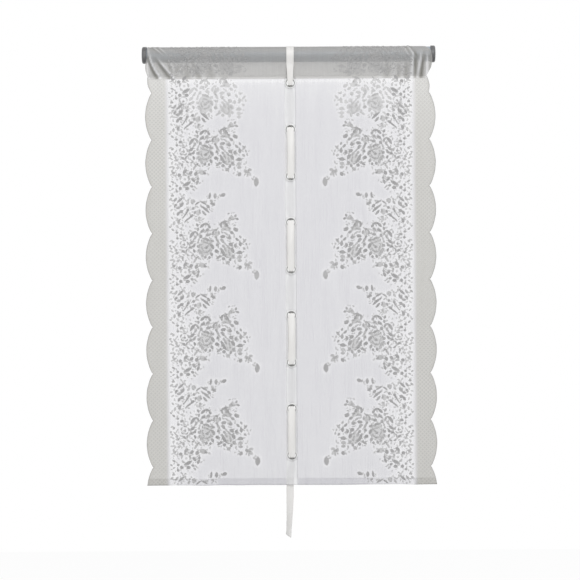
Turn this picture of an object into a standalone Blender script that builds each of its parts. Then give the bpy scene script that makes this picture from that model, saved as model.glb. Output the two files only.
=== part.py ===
"""A lace lift-up curtain on its pole, gathered by hand with a ribbon woven through nine eyelets.

Metres, +Z up. The origin is on the pole's axis, where the curtain's centre line crosses it. The pole runs
along X, and the side that faces the room is -Y.
"""

import math
from dataclasses import dataclass, field

import bmesh
import bpy
from mathutils import Vector
from mathutils.geometry import delaunay_2d_cdt

# Pole and its end caps
POLE_DIAMETER = 0.032
POLE_WALL = 0.0012
POLE_SHIFT = -0.003
CAP_DIAMETER = 0.036
CAP_THICKNESS = 0.010
CAP_EDGE_RADIUS = 0.004
CAP_PLUG_LENGTH = 0.015
POLE_SIDES = 24

# Clearance left between two pieces that touch on the real curtain
FIT_GAP = 0.0003

# Lace panel: the sizes of the cloth, its pocket, its hem and its scalloped sides
CLOTH_THICKNESS = 0.0006
PANEL_WIDTH = 0.623
POCKET_DROP = 0.0475
CURTAIN_DROP = 0.925
HEM_DEPTH = 0.015
BARE_POLE_LEFT = 0.0015
BARE_POLE_RIGHT = 0.0085
SCALLOP_PITCH = 0.1005
SCALLOP_DEPTH = 0.014
FIRST_NOTCH_DROP = 0.082
SCALLOP_STEPS = 6
PART_SCALLOP_STEPS = 3
PART_SCALLOP_SWELL = 0.0035

# Gathers that bunch both ends of the header
GATHER_SPAN = 0.085
GATHER_PITCH = 0.0135
GATHER_HEIGHT = 0.0032
GATHER_SLANT = 0.35
GATHER_FADE = 0.045
GATHER_COLUMN_STEP = 0.005
PLAIN_COLUMNS = 8
POCKET_LINE_ROWS = 2
POCKET_ARC_ROWS = 8

# Soft billows of the hanging panel, which leave the centre tape flat
BILLOW_HEIGHT = 0.0035
BILLOW_PITCH = 0.23
DRAG_FOLD_HEIGHT = 0.006
DRAG_FOLD_WIDTH = 0.022
FLAT_HALF_WIDTH = 0.022
FULL_HALF_WIDTH = 0.10
GRID_STEP = 0.056

# Woven rose sprays, whose crests stand a little proud of the net
RELIEF = 0.0018
SPRAY_PITCH = 0.2
FIRST_SPRAY_DROP = 0.0095
SPRAY_ROWS = 5
TOP_SPRAY_DROP = 0.101
SPRAY_GAP = 0.003
SPRAY_CENTRE = 0.1835
SPRAY_MARGIN = 0.004
PANEL_CREASE_DEGREES = 6
ROSE_RADIUS = 0.024
BUD_RADIUS = 0.015
FLOWER_RADIUS = 0.0105
LEAF_LENGTH = 0.026
LEAF_WIDTH = 0.013
TRAIL_BUDS = 3

# Eyelets, in two snap-together halves
EYELET_COUNT = 9
FIRST_EYELET_DROP = 0.061
LAST_EYELET_RISE = 0.064
EYELET_BORE = 0.016
EYELET_FLANGE = 0.024
EYELET_BARREL_WALL = 0.0012
EYELET_FLANGE_THICKNESS = 0.0012
EYELET_WASHER_THICKNESS = 0.0012
EYELET_LIP = 0.0003
EYELET_SIDES = 12

# Centre tape behind the eyelets
TAPE_WIDTH = 0.024
TAPE_THICKNESS = 0.0005

# Lift ribbon
RIBBON_WIDTH = 0.016
RIBBON_THICKNESS = 0.0005
RIBBON_EYELET_SIDE_GAP = 0.001
RIBBON_FRONT_BOW = 0.0022
RIBBON_BACK_BOW = 0.0008
RIBBON_SLACK = 0.0026
RIBBON_END_UP = 0.005
RIBBON_TAIL = 0.110
RIBBON_TAIL_SWING = -0.006
RIBBON_TAIL_TWIST = 40.0
RIBBON_END_SLANT = 0.010
RIBBON_ACROSS = 4
RIBBON_STEPS = 6
RIBBON_TAIL_STEPS = 6

# Places worked out from the sizes above
POLE_LENGTH = PANEL_WIDTH - SCALLOP_DEPTH
POLE_RADIUS = POLE_DIAMETER / 2
POLE_LEFT = POLE_SHIFT - POLE_LENGTH / 2
POLE_RIGHT = POLE_SHIFT + POLE_LENGTH / 2
HEADER_LEFT = POLE_LEFT + BARE_POLE_LEFT
HEADER_RIGHT = POLE_RIGHT - BARE_POLE_RIGHT
GATHER_COLUMNS = round(GATHER_SPAN / GATHER_COLUMN_STEP)
HALF_CLOTH = CLOTH_THICKNESS / 2
POCKET_LEAN = math.acos((POLE_RADIUS + FIT_GAP + HALF_CLOTH) / math.hypot(HALF_CLOTH, POCKET_DROP))
POCKET_SWEEP = 2 * (math.pi - POCKET_LEAN)
POCKET_RADIUS = (POLE_RADIUS + FIT_GAP) / math.cos(POCKET_SWEEP / POCKET_ARC_ROWS / 2) + HALF_CLOTH
SEAM_Z = -POCKET_DROP
HEM_Z = -CURTAIN_DROP
HEM_TOP_Z = HEM_Z + HEM_DEPTH
BARREL_RADIUS = EYELET_BORE / 2 + EYELET_BARREL_WALL
HOLE_RADIUS = (BARREL_RADIUS + FIT_GAP) / math.cos(math.pi / EYELET_SIDES)
FLANGE_BACK_Y = -CLOTH_THICKNESS - FIT_GAP
FLANGE_FRONT_Y = FLANGE_BACK_Y - EYELET_FLANGE_THICKNESS
TAPE_FRONT_Y = FIT_GAP
TAPE_BACK_Y = TAPE_FRONT_Y + TAPE_THICKNESS
WASHER_FRONT_Y = TAPE_BACK_Y + FIT_GAP
WASHER_BACK_Y = WASHER_FRONT_Y + EYELET_WASHER_THICKNESS
BARREL_BACK_Y = WASHER_BACK_Y + EYELET_LIP
EYELET_PITCH = (CURTAIN_DROP - FIRST_EYELET_DROP - LAST_EYELET_RISE) / (EYELET_COUNT - 1)
EYELET_DROPS = [FIRST_EYELET_DROP + i * EYELET_PITCH for i in range(EYELET_COUNT)]
RIBBON_CLEAR = FIT_GAP + RIBBON_THICKNESS / 2
RIBBON_FRONT_Y = FLANGE_FRONT_Y - RIBBON_CLEAR
RIBBON_BACK_Y = BARREL_BACK_Y + RIBBON_CLEAR
RIBBON_BORE_HALF = min(RIBBON_WIDTH, EYELET_BORE - 2 * RIBBON_EYELET_SIDE_GAP) / 2
RIBBON_CROSSING = math.sqrt((EYELET_BORE / 2) ** 2 - RIBBON_BORE_HALF**2) - FIT_GAP


def smooth(value, low, high):
    """0 below low, 1 above high, and an even ease between."""
    share = min(max((value - low) / (high - low), 0.0), 1.0)
    return share * share * (3 - 2 * share)


def material(name, colour, roughness, metallic=0.0):
    """A Principled material."""
    made = bpy.data.materials.new(name)
    made.use_nodes = True
    shader = made.node_tree.nodes["Principled BSDF"]
    shader.inputs["Base Color"].default_value = (*colour, 1.0)
    shader.inputs["Roughness"].default_value = roughness
    shader.inputs["Metallic"].default_value = metallic
    return made


def add_object(name, mesh, finish, collection):
    """A new object that shows mesh with finish."""
    made = bpy.data.objects.new(name, mesh)
    if not mesh.materials:
        mesh.materials.append(finish)
    collection.objects.link(made)
    return made


def turned_mesh(name, profile, closed):
    """An edge loop of (radius, height) points, ready for a Screw modifier round Z."""
    mesh = bpy.data.meshes.new(name)
    points = [(radius, 0.0, height) for radius, height in profile]
    edges = [(i, i + 1) for i in range(len(points) - 1)]
    if closed:
        edges.append((len(points) - 1, 0))
    mesh.from_pydata(points, edges, [])
    return mesh


def turn(made, sides):
    """Revolves made's profile round its own Z axis."""
    screw = made.modifiers.new("turn", "SCREW")
    screw.steps = sides
    screw.render_steps = sides
    screw.use_merge_vertices = True
    screw.merge_threshold = 0.00001
    screw.use_smooth_shade = True
    return made


# The pole and its caps


def add_pole(collection):
    """The hollow metal pole, along X."""
    inner = POLE_RADIUS - POLE_WALL
    half = POLE_LENGTH / 2
    profile = [(inner, half), (POLE_RADIUS, half), (POLE_RADIUS, -half), (inner, -half)]
    finish = material("pole_metal", (0.42, 0.44, 0.46), 0.35, 0.9)
    pole = add_object("curtain_pole", turned_mesh("curtain_pole", profile, True), finish, collection)
    pole.location = (POLE_SHIFT, 0.0, 0.0)
    pole.rotation_euler = (0.0, math.pi / 2, 0.0)
    turn(pole, POLE_SIDES)


def cap_profile():
    """Half section of a cap: a plug that fills the pole's mouth, and a flange with a rounded rim."""
    plug = POLE_RADIUS - POLE_WALL - FIT_GAP
    rim = CAP_DIAMETER / 2
    top = FIT_GAP + CAP_THICKNESS
    points = [(0.0, top)]
    for step in range(3):
        angle = math.pi / 2 * (1 - step / 2)
        across = rim - CAP_EDGE_RADIUS + CAP_EDGE_RADIUS * math.cos(angle)
        points.append((across, top - CAP_EDGE_RADIUS + CAP_EDGE_RADIUS * math.sin(angle)))
    points += [(rim, FIT_GAP), (plug, FIT_GAP), (plug, -CAP_PLUG_LENGTH), (0.0, -CAP_PLUG_LENGTH)]
    return points


def add_caps(collection):
    """A dark cap in each end of the pole."""
    finish = material("cap_plastic", (0.06, 0.06, 0.065), 0.5)
    mesh = turned_mesh("end_cap", cap_profile(), False)
    for name, end, turn_y in (
        ("left_end_cap", POLE_LEFT, -math.pi / 2),
        ("right_end_cap", POLE_RIGHT, math.pi / 2),
    ):
        cap = add_object(name, mesh, finish, collection)
        cap.location = (end, 0.0, 0.0)
        cap.rotation_euler = (0.0, turn_y, 0.0)
        turn(cap, POLE_SIDES)


# How the cloth hangs


def gather(x, z):
    """0 to 1: how far the bunched header stands out at x, in slanted folds that die away from its ends."""
    from_left = x - HEADER_LEFT
    from_right = HEADER_RIGHT - x
    near = min(from_left, from_right)
    lean = GATHER_SLANT * z if from_left < from_right else -GATHER_SLANT * z
    strength = 1 - smooth(near, 0.3 * GATHER_SPAN, GATHER_SPAN)
    fold = 0.5 - 0.5 * math.cos(2 * math.pi * (near + lean) / GATHER_PITCH)
    return strength * fold


def drag_fold(x, z, top, bottom):
    """A soft ridge along the line from top to bottom, each (x, z), that grows towards bottom."""
    share = (top[1] - z) / (top[1] - bottom[1])
    line = top[0] + (bottom[0] - top[0]) * share
    ridge = math.exp(-(((x - line) / DRAG_FOLD_WIDTH) ** 2))
    return ridge * smooth(share, -0.3, 1.0)


def billow(x, z):
    """How far back of its own plane the hanging panel lies at x, z."""
    below = SEAM_Z - z
    free = smooth(abs(x), FLAT_HALF_WIDTH, FULL_HALF_WIDTH)
    wave = math.sin(2 * math.pi * x / BILLOW_PITCH + 0.9 + 2.2 * below)
    sway = math.sin(2 * math.pi * x / (1.7 * BILLOW_PITCH) - 3.1 * below)
    depth = BILLOW_HEIGHT * (0.6 * wave + 0.4 * sway) * smooth(below, 0.0, 0.3)
    half = PANEL_WIDTH / 2
    low = HEM_Z
    depth -= DRAG_FOLD_HEIGHT * drag_fold(x, z, (-0.8 * half, low + 0.17), (-0.62 * half, low))
    depth += 0.6 * DRAG_FOLD_HEIGHT * drag_fold(x, z, (-0.56 * half, low + 0.12), (-0.47 * half, low))
    depth -= DRAG_FOLD_HEIGHT * drag_fold(x, z, (0.93 * half, low + 0.16), (0.83 * half, low))
    depth += 0.5 * DRAG_FOLD_HEIGHT * drag_fold(x, z, (0.83 * half, low + 0.22), (0.77 * half, low))
    bunch = GATHER_HEIGHT * gather(x, z) * (1 - smooth(below, 0.0, GATHER_FADE))
    return free * depth - 0.7 * bunch


# The rod pocket


def pocket_section():
    """Points (y, z, outward y, outward z) of the cloth's middle, from the seam in front over the pole to
    the seam behind."""
    start = -math.pi / 2 - POCKET_LEAN
    touch = Vector((POCKET_RADIUS * math.cos(start), POCKET_RADIUS * math.sin(start)))
    seam = Vector((-HALF_CLOTH, SEAM_Z))
    front = []
    for step in range(POCKET_LINE_ROWS):
        point = seam.lerp(touch, step / POCKET_LINE_ROWS)
        front.append((point.x, point.y, math.cos(start), math.sin(start)))
    arc = []
    for step in range(POCKET_ARC_ROWS + 1):
        angle = start - POCKET_SWEEP * step / POCKET_ARC_ROWS
        out = (math.cos(angle), math.sin(angle))
        arc.append((POCKET_RADIUS * out[0], POCKET_RADIUS * out[1], *out))
    back = [(-y, z, -out_y, out_z) for y, z, out_y, out_z in reversed(front)]
    return front + arc + back


def header_columns():
    """The x of each column of the header, close together where it is gathered."""
    left = [HEADER_LEFT + GATHER_SPAN * i / GATHER_COLUMNS for i in range(GATHER_COLUMNS)]
    right = [HEADER_RIGHT - GATHER_SPAN * i / GATHER_COLUMNS for i in range(GATHER_COLUMNS)]
    start = HEADER_LEFT + GATHER_SPAN
    plain = HEADER_RIGHT - GATHER_SPAN - start
    middle = [start + plain * i / PLAIN_COLUMNS for i in range(PLAIN_COLUMNS + 1)]
    return left + middle + right[::-1]


def strip(bm, first, second, closed=False):
    """Faces between two equal rows of vertices."""
    count = len(first)
    for i in range(count if closed else count - 1):
        j = (i + 1) % count
        bm.faces.new((first[i], first[j], second[j], second[i]))


def add_pocket(bm, columns, front_row, back_row):
    """The pocket's outer and inner skins, closed at its ends and joined to the panel's top rows."""
    section = pocket_section()
    outer, inner = [], []
    bottom = [bm.verts.new((x, billow(x, SEAM_Z), SEAM_Z + CLOTH_THICKNESS)) for x in columns]
    last = len(section) - 1
    for k, (y, z, out_y, out_z) in enumerate(section):
        if k == 0:
            outer.append(front_row)
            inner.append(bottom)
            continue
        if k == last:
            row = [bm.verts.new((x, CLOTH_THICKNESS + billow(x, SEAM_Z), SEAM_Z)) for x in columns]
            outer.append(row)
            inner.append(bottom)
            continue
        share = smooth(min(k, last - k), 0, POCKET_LINE_ROWS)
        skins = ([], [])
        for x in columns:
            stand = GATHER_HEIGHT * gather(x, z)
            sag = (1 - share) * billow(x, SEAM_Z)
            for skin, side in zip(skins, (HALF_CLOTH, -HALF_CLOTH)):
                off = side + stand * (0.35 + 0.65 * share)
                skin.append(bm.verts.new((x, y + out_y * off + sag, z + out_z * off)))
        outer.append(skins[0])
        inner.append(skins[1])
    for k in range(last):
        strip(bm, outer[k], outer[k + 1])
        strip(bm, inner[k + 1], inner[k])
        for end in (0, -1):
            ring = [outer[k][end], outer[k + 1][end], inner[k + 1][end], inner[k][end]]
            bm.faces.new(ring if end == 0 else ring[::-1])
    strip(bm, outer[last], back_row)
    for end in (0, -1):
        bm.faces.new((front_row[end], bottom[end], back_row[end]))
        bm.faces.new((bottom[end], outer[last][end], back_row[end]))


# The panel's outline, eyelet holes and woven sprays, drawn flat in X and Z


def scalloped_side(sign, corner):
    """Points down one side from just below the seam corner to the hem, as arcs that meet in notches."""
    tip = PANEL_WIDTH / 2
    notch = tip - SCALLOP_DEPTH
    points = []
    first = -FIRST_NOTCH_DROP
    for step in range(1, PART_SCALLOP_STEPS):
        share = step / PART_SCALLOP_STEPS
        swell = PART_SCALLOP_SWELL * math.sin(math.pi * share)
        across = corner + (sign * notch - corner) * share + sign * swell
        points.append((across, SEAM_Z + (first - SEAM_Z) * share))
    z = first
    step_z = SCALLOP_PITCH / SCALLOP_STEPS
    index = 0
    while z > HEM_Z + 0.3 * step_z:
        share = (index % SCALLOP_STEPS) / SCALLOP_STEPS
        points.append((sign * (notch + SCALLOP_DEPTH * math.sin(math.pi * share) ** 0.75), z))
        index += 1
        z = first - index * step_z
    share = ((first - HEM_Z) / SCALLOP_PITCH) % 1.0
    points.append((sign * (notch + SCALLOP_DEPTH * math.sin(math.pi * share) ** 0.75), HEM_Z))
    return points


def hem_fold_points(side):
    """The side's points, with one more just above and just below the hem's top edge."""
    made = []
    for before, after in zip(side, side[1:]):
        made.append(before)
        for z in (HEM_TOP_Z + FIT_GAP, HEM_TOP_Z - FIT_GAP):
            if before[1] > z > after[1]:
                share = (before[1] - z) / (before[1] - after[1])
                made.append((before[0] + (after[0] - before[0]) * share, z))
    return made + [side[-1]]


def circle(centre, radius, sides):
    """A ring of points round centre."""
    angles = [2 * math.pi * i / sides for i in range(sides)]
    return [(centre[0] + radius * math.cos(a), centre[1] + radius * math.sin(a)) for a in angles]


@dataclass
class Figure:
    """A woven figure: its outline on the net, and the points of its crests with each one's lift."""

    ring: list
    crests: list = field(default_factory=list)

    def placed(self, sign, across, drop):
        """The figure moved to one half of the panel, with sign -1 for the left half."""
        ring = [(sign * (across + outward), up - drop) for outward, up in self.ring]
        crests = [(sign * (across + outward), up - drop, lift) for outward, up, lift in self.crests]
        return Figure(ring, crests)

    def meets(self, other):
        """True if other lies over this figure, or comes closer than the gap between figures."""
        mine = self.ring + [(x, z) for x, z, _ in self.crests]
        theirs = other.ring + [(x, z) for x, z, _ in other.crests]
        if any(inside(point, other.ring) for point in mine) or any(inside(point, self.ring) for point in theirs):
            return True
        return min(math.dist(one, two) for one in mine for two in theirs) < SPRAY_GAP


def petal_ring(centre, radius, petals, notch):
    """Points at each petal's crown, and between petals at notch times the radius."""
    points = []
    for i in range(2 * petals):
        angle = math.pi * i / petals + 0.3
        size = radius if i % 2 == 0 else notch * radius
        points.append((centre[0] + size * math.cos(angle), centre[1] + size * math.sin(angle)))
    return points


def blossom(centre, radius, petals):
    """A small open flower, domed to its middle."""
    return Figure(petal_ring(centre, radius, petals, 0.7), [(*centre, RELIEF)])


def rose(centre, radius):
    """A full rose: five outer petals with a crest on each, round a heart that stands out of a valley."""
    outer = petal_ring(centre, 0.74 * radius, 5, 0.8)
    crests = [(x, z, RELIEF * (i % 2 == 0)) for i, (x, z) in enumerate(outer)]
    crests += [(x, z, 0.2 * RELIEF) for x, z in petal_ring(centre, 0.42 * radius, 3, 1.0)]
    crests.append((*centre, RELIEF))
    return Figure(petal_ring(centre, radius, 5, 0.85), crests)


def leaf(centre, degrees, length=LEAF_LENGTH, width=LEAF_WIDTH):
    """A pointed leaf with a raised midrib, its length at degrees from +X."""
    turn_by = math.radians(degrees)
    along = Vector((math.cos(turn_by), math.sin(turn_by))) * length / 2
    across = Vector((-math.sin(turn_by), math.cos(turn_by))) * width / 2
    middle = Vector(centre)
    corners = (middle - along, middle - across, middle + along, middle + across)
    ridge = [(*(middle + share * along), RELIEF) for share in (-0.4, 0.4)]
    return Figure([tuple(corner) for corner in corners], ridge)


def spray():
    """The figures of one rose spray, placed from its main rose in (outward, up)."""
    figures = [rose((0.0, 0.0), ROSE_RADIUS), rose((-0.046, -0.015), BUD_RADIUS)]
    figures += [blossom((0.047, 0.001), FLOWER_RADIUS, 5), blossom((0.056, -0.036), FLOWER_RADIUS, 5)]
    for outward, up, degrees in (
        (-0.034, 0.033, 115),
        (-0.056, 0.041, 150),
        (-0.062, 0.064, 140),
        (-0.080, 0.012, 20),
        (-0.014, 0.100, 100),
        (-0.037, 0.110, 160),
        (0.003, 0.074, 130),
        (0.022, 0.087, 0),
        (0.056, 0.085, 75),
        (0.038, 0.062, 45),
        (0.066, 0.038, 110),
        (0.022, 0.036, 60),
        (0.014, -0.043, 70),
        (0.036, -0.060, 25),
    ):
        figures.append(leaf((outward, up), degrees))
    for step in range(TRAIL_BUDS):
        centre = (-0.071 - 0.018 * step, -0.022 - 0.019 * step)
        figures.append(leaf(centre, 60 + 15 * step, 0.6 * LEAF_LENGTH, 0.7 * LEAF_WIDTH))
    return figures


def woven_figures():
    """Every figure on both halves of the panel that the pocket, the hem and earlier figures leave room for.

    The spray close under the pocket comes first, and then the rows at their even pitch.
    """
    figures = []
    drops = [TOP_SPRAY_DROP] + [FIRST_SPRAY_DROP + row * SPRAY_PITCH for row in range(SPRAY_ROWS)]
    for drop in drops:
        earlier = list(figures)
        for figure in spray():
            left, right = (figure.placed(sign, SPRAY_CENTRE, drop) for sign in (-1, 1))
            top = max(z for _, z in left.ring)
            bottom = min(z for _, z in left.ring)
            if top > SEAM_Z - SPRAY_MARGIN or bottom < HEM_TOP_Z + SPRAY_MARGIN:
                continue
            if not any(left.meets(other) for other in earlier):
                figures += [left, right]
    return figures


def inside(point, ring):
    """True if point lies within the closed ring."""
    found = False
    for (ax, az), (bx, bz) in zip(ring, ring[1:] + ring[:1]):
        if (az > point[1]) != (bz > point[1]):
            cross = ax + (point[1] - az) * (bx - ax) / (bz - az)
            if cross > point[0]:
                found = not found
    return found


def grid_points(outline, rings):
    """Points inside the outline for the billows to bend at, none close to a ring's own points."""
    clear = 0.3 * GRID_STEP
    near = [Vector(p) for ring in [outline] + rings for p in ring]
    points = []
    columns = int(PANEL_WIDTH / GRID_STEP)
    rows = int((SEAM_Z - HEM_Z) / GRID_STEP)
    for row in range(rows):
        z = SEAM_Z - (row + 0.5) * GRID_STEP
        for column in range(columns + 1):
            x = (column - columns / 2) * GRID_STEP
            apart = min((Vector((x, z)) - other).length for other in near)
            if apart > clear and inside((x, z), outline):
                points.append((x, z))
    return points


def triangulate(outline, holes, rings, extra):
    """Flat triangles within the outline and outside the holes, with the rings and extra points in them.

    Returns the points, which begin with the outline's and the holes', and the triangles.
    """
    points, edges = [], []
    for ring in [outline] + holes + rings:
        start = len(points)
        points += ring
        edges += [(start + i, start + (i + 1) % len(ring)) for i in range(len(ring))]
    points += extra
    found = delaunay_2d_cdt([Vector(p) for p in points], edges, [], 0, 1e-7)
    kept = []
    for triangle in found[2]:
        centre = sum((found[0][i] for i in triangle), Vector((0.0, 0.0))) / len(triangle)
        if inside(centre, outline) and not any(inside(centre, hole) for hole in holes):
            kept.append(tuple(triangle))
    return [tuple(p) for p in found[0]], kept


def skin(bm, flat, triangles, depth):
    """The triangles as faces, each point depth(x, z) back from the panel's middle plane."""
    made = [bm.verts.new((x, billow(x, z) + depth(x, z), z)) for x, z in flat]
    for triangle in triangles:
        bm.faces.new([made[i] for i in triangle])
    return made


def add_lace_panel(collection):
    """The whole cloth: panel, hem, woven sprays and rod pocket, as one closed body."""
    columns = header_columns()
    top = [(x, SEAM_Z) for x in columns]
    left = hem_fold_points(scalloped_side(-1, HEADER_LEFT))
    right = hem_fold_points(scalloped_side(1, HEADER_RIGHT))
    half_hem = right[-1][0]
    hem_steps = int(2 * half_hem / GRID_STEP)
    hem = [(half_hem - 2 * half_hem * i / hem_steps, HEM_Z) for i in range(1, hem_steps)]
    outline = left + hem[::-1] + right[::-1] + top[::-1]
    holes = [circle((0.0, -drop), HOLE_RADIUS, EYELET_SIDES) for drop in EYELET_DROPS]
    figures = woven_figures()
    rings = [figure.ring for figure in figures]
    crests = [crest for figure in figures for crest in figure.crests]
    lifts = {(round(x, 6), round(z, 6)): lift for x, z, lift in crests}
    fold_rows = [
        (half_hem * (2 * i / hem_steps - 1), z)
        for z in (HEM_TOP_Z + FIT_GAP, HEM_TOP_Z - FIT_GAP)
        for i in range(1, hem_steps)
    ]

    def front_depth(x, z):
        """The front lies half the pocket seam's doubled cloth forward, and more at a crest."""
        return -CLOTH_THICKNESS - lifts.get((round(x, 6), round(z, 6)), 0.0)

    def back_depth(x, z):
        """The back is twice as far out behind the turned-up hem."""
        return CLOTH_THICKNESS if z < HEM_TOP_Z else 0.0

    bm = bmesh.new()
    points = grid_points(outline, holes + rings) + [(x, z) for x, z, _ in crests]
    flat, triangles = triangulate(outline, holes, rings, points)
    front = skin(bm, flat, triangles, front_depth)
    points = grid_points(outline, holes + [fold_rows]) + fold_rows
    flat, triangles = triangulate(outline, holes, [], points)
    back = skin(bm, flat, [t[::-1] for t in triangles], back_depth)

    start = 0
    for number, ring in enumerate([outline] + holes):
        first = front[start : start + len(ring)]
        second = back[start : start + len(ring)]
        start += len(ring)
        if number > 0:
            strip(bm, second, first, closed=True)
            continue
        count = len(columns)
        side_and_hem = [-1] + list(range(len(ring) - count + 1))
        strip(bm, [first[i] for i in side_and_hem], [second[i] for i in side_and_hem])
        front_row = first[len(ring) - count :][::-1]
        back_row = second[len(ring) - count :][::-1]
    add_pocket(bm, columns, front_row, back_row)

    bmesh.ops.recalc_face_normals(bm, faces=bm.faces)
    mesh = bpy.data.meshes.new("lace_panel")
    bm.to_mesh(mesh)
    bm.free()
    mesh.shade_smooth()
    mesh.set_sharp_from_angle(angle=math.radians(PANEL_CREASE_DEGREES))
    finish = material("lace_cloth", (0.78, 0.77, 0.73), 0.85)
    add_object("lace_panel", mesh, finish, collection)


# The centre tape and the eyelets


def add_tape(collection):
    """The strip behind the centre line, from the pocket's seam to the hem, with a hole for each eyelet."""
    half = TAPE_WIDTH / 2
    top = SEAM_Z - FIT_GAP
    bottom = HEM_TOP_Z + 2 * FIT_GAP
    outline = [(-half, bottom), (half, bottom), (half, top), (-half, top)]
    holes = [circle((0.0, -drop), HOLE_RADIUS, EYELET_SIDES) for drop in EYELET_DROPS]
    flat, triangles = triangulate(outline, holes, [], [])
    mesh = bpy.data.meshes.new("centre_tape")
    middle = TAPE_FRONT_Y + TAPE_THICKNESS / 2
    mesh.from_pydata([(x, middle, z) for x, z in flat], [], triangles)
    tape = add_object("centre_tape", mesh, material("tape_cloth", (0.80, 0.79, 0.76), 0.8), collection)
    solid = tape.modifiers.new("cloth", "SOLIDIFY")
    solid.thickness = TAPE_THICKNESS
    solid.offset = 0.0


def front_eyelet_profile():
    """Section of a front half: (radius, height towards the room) round a rounded flange and its barrel."""
    bore = EYELET_BORE / 2
    rim = EYELET_FLANGE / 2
    edge = EYELET_FLANGE_THICKNESS / 3
    return [
        (bore, -FLANGE_FRONT_Y - edge),
        (bore + edge, -FLANGE_FRONT_Y),
        (rim - 2 * edge, -FLANGE_FRONT_Y),
        (rim, -FLANGE_BACK_Y),
        (BARREL_RADIUS, -FLANGE_BACK_Y),
        (BARREL_RADIUS, -BARREL_BACK_Y),
        (bore, -BARREL_BACK_Y),
    ]


def back_eyelet_profile():
    """Section of a back half: a flat washer that snaps round the barrel."""
    inner = HOLE_RADIUS
    rim = EYELET_FLANGE / 2
    front, back = -WASHER_FRONT_Y, -WASHER_BACK_Y
    return [(inner, front), (rim, front), (rim, back), (inner, back)]


def add_eyelets(collection):
    """Nine eyelets down the centre line, each in a front and a back half."""
    finish = material("eyelet_plastic", (0.82, 0.82, 0.82), 0.3)
    for half, profile in (("front", front_eyelet_profile()), ("back", back_eyelet_profile())):
        mesh = turned_mesh(f"eyelet_{half}", profile, True)
        for number, drop in enumerate(EYELET_DROPS, 1):
            eyelet = add_object(f"eyelet_{half}_{number}", mesh, finish, collection)
            eyelet.location = (0.0, 0.0, -drop)
            eyelet.rotation_euler = (math.pi / 2, 0.0, 0.0)
            turn(eyelet, EYELET_SIDES)


# The lift ribbon


def ribbon_over_header():
    """Stations of the ribbon from its sewn end behind the header, over the pole, to the first eyelet.

    A station is (x, y, z, half width, bow, degrees of twist). A bow below 0 swells towards the room.
    """
    off = HALF_CLOTH + RIBBON_CLEAR
    half = RIBBON_WIDTH / 2
    lifted = [(y + out_y * off, z + out_z * off) for y, z, out_y, out_z in pocket_section()]
    end, above = Vector(lifted[-1]), Vector(lifted[-2])
    lifted[-1] = tuple(end + (above - end).normalized() * RIBBON_END_UP)
    over = lifted[:POCKET_LINE_ROWS - 1:-1]
    stations = [(0.0, y, z, half, 0.0, 0.0) for y, z in over]
    touch = Vector(over[-1])
    mouth = Vector((RIBBON_FRONT_Y, RIBBON_CROSSING - FIRST_EYELET_DROP))
    for share in (0.45, 0.85):
        point = touch.lerp(mouth, share)
        width = half + (RIBBON_BORE_HALF - half) * share
        stations.append((0.0, point.x, point.y, width, 0.0, 0.0))
    stations.append((0.0, mouth.x, mouth.y, RIBBON_BORE_HALF, 0.0, 0.0))
    return stations


def ribbon_through_eyelets():
    """Stations of the ribbon as it passes through each eyelet and lies before or behind the cloth."""
    stations = []
    half = RIBBON_WIDTH / 2
    middle_y = (RIBBON_FRONT_Y + RIBBON_BACK_Y) / 2
    first = RIBBON_CROSSING / EYELET_PITCH
    for number, drop in enumerate(EYELET_DROPS):
        is_front = number % 2 == 1
        plane = RIBBON_FRONT_Y if is_front else RIBBON_BACK_Y
        sign = -1 if is_front else 1
        bow = RIBBON_FRONT_BOW if is_front else RIBBON_BACK_BOW
        stations.append((0.0, middle_y, -drop, RIBBON_BORE_HALF, 0.0, 0.0))
        for step in range(RIBBON_STEPS + 1):
            ease = smooth(step, 0, RIBBON_STEPS)
            share = first + (1 - 2 * first) * ease
            z = -drop - share * EYELET_PITCH
            if z < HEM_TOP_Z:
                break
            swell = math.sin(math.pi * ease) ** 2
            width = RIBBON_BORE_HALF + (half - RIBBON_BORE_HALF) * swell
            stations.append((0.0, plane + sign * RIBBON_SLACK * swell, z, width, sign * bow * swell, 0.0))
    return stations


def ribbon_tail():
    """Stations of the free tail below the hem, which swings and twists a little."""
    stations = []
    for step in range(RIBBON_TAIL_STEPS + 1):
        share = step / RIBBON_TAIL_STEPS
        x = RIBBON_TAIL_SWING * share * share
        z = HEM_Z - share * RIBBON_TAIL
        twist = RIBBON_TAIL_TWIST * smooth(share, 0.1, 0.9)
        stations.append((x, RIBBON_BACK_Y, z, RIBBON_WIDTH / 2, RIBBON_BACK_BOW, twist))
    return stations


def add_ribbon(collection):
    """The ribbon as one loft through its stations, with its tail cut on the slant."""
    stations = ribbon_over_header() + ribbon_through_eyelets() + ribbon_tail()
    points = []
    for number, (x, y, z, half, bow, twist) in enumerate(stations):
        turned = math.radians(twist)
        slant = RIBBON_END_SLANT if number == len(stations) - 1 else 0.0
        for i in range(RIBBON_ACROSS + 1):
            side = 2 * i / RIBBON_ACROSS - 1
            swell = bow * (1 - side * side)
            across = half * side
            point_x = x + across * math.cos(turned) - swell * math.sin(turned)
            point_y = y + across * math.sin(turned) + swell * math.cos(turned)
            points.append((point_x, point_y, z - slant * side / 2))
    row = RIBBON_ACROSS + 1
    faces = []
    for k in range(len(stations) - 1):
        for i in range(RIBBON_ACROSS):
            corner = k * row + i
            faces.append((corner, corner + 1, corner + row + 1, corner + row))
    mesh = bpy.data.meshes.new("lift_ribbon")
    mesh.from_pydata(points, [], faces)
    ribbon = add_object("lift_ribbon", mesh, material("ribbon_satin", (0.83, 0.82, 0.80), 0.45), collection)
    solid = ribbon.modifiers.new("ribbon", "SOLIDIFY")
    solid.thickness = RIBBON_THICKNESS
    solid.offset = 0.0


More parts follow.
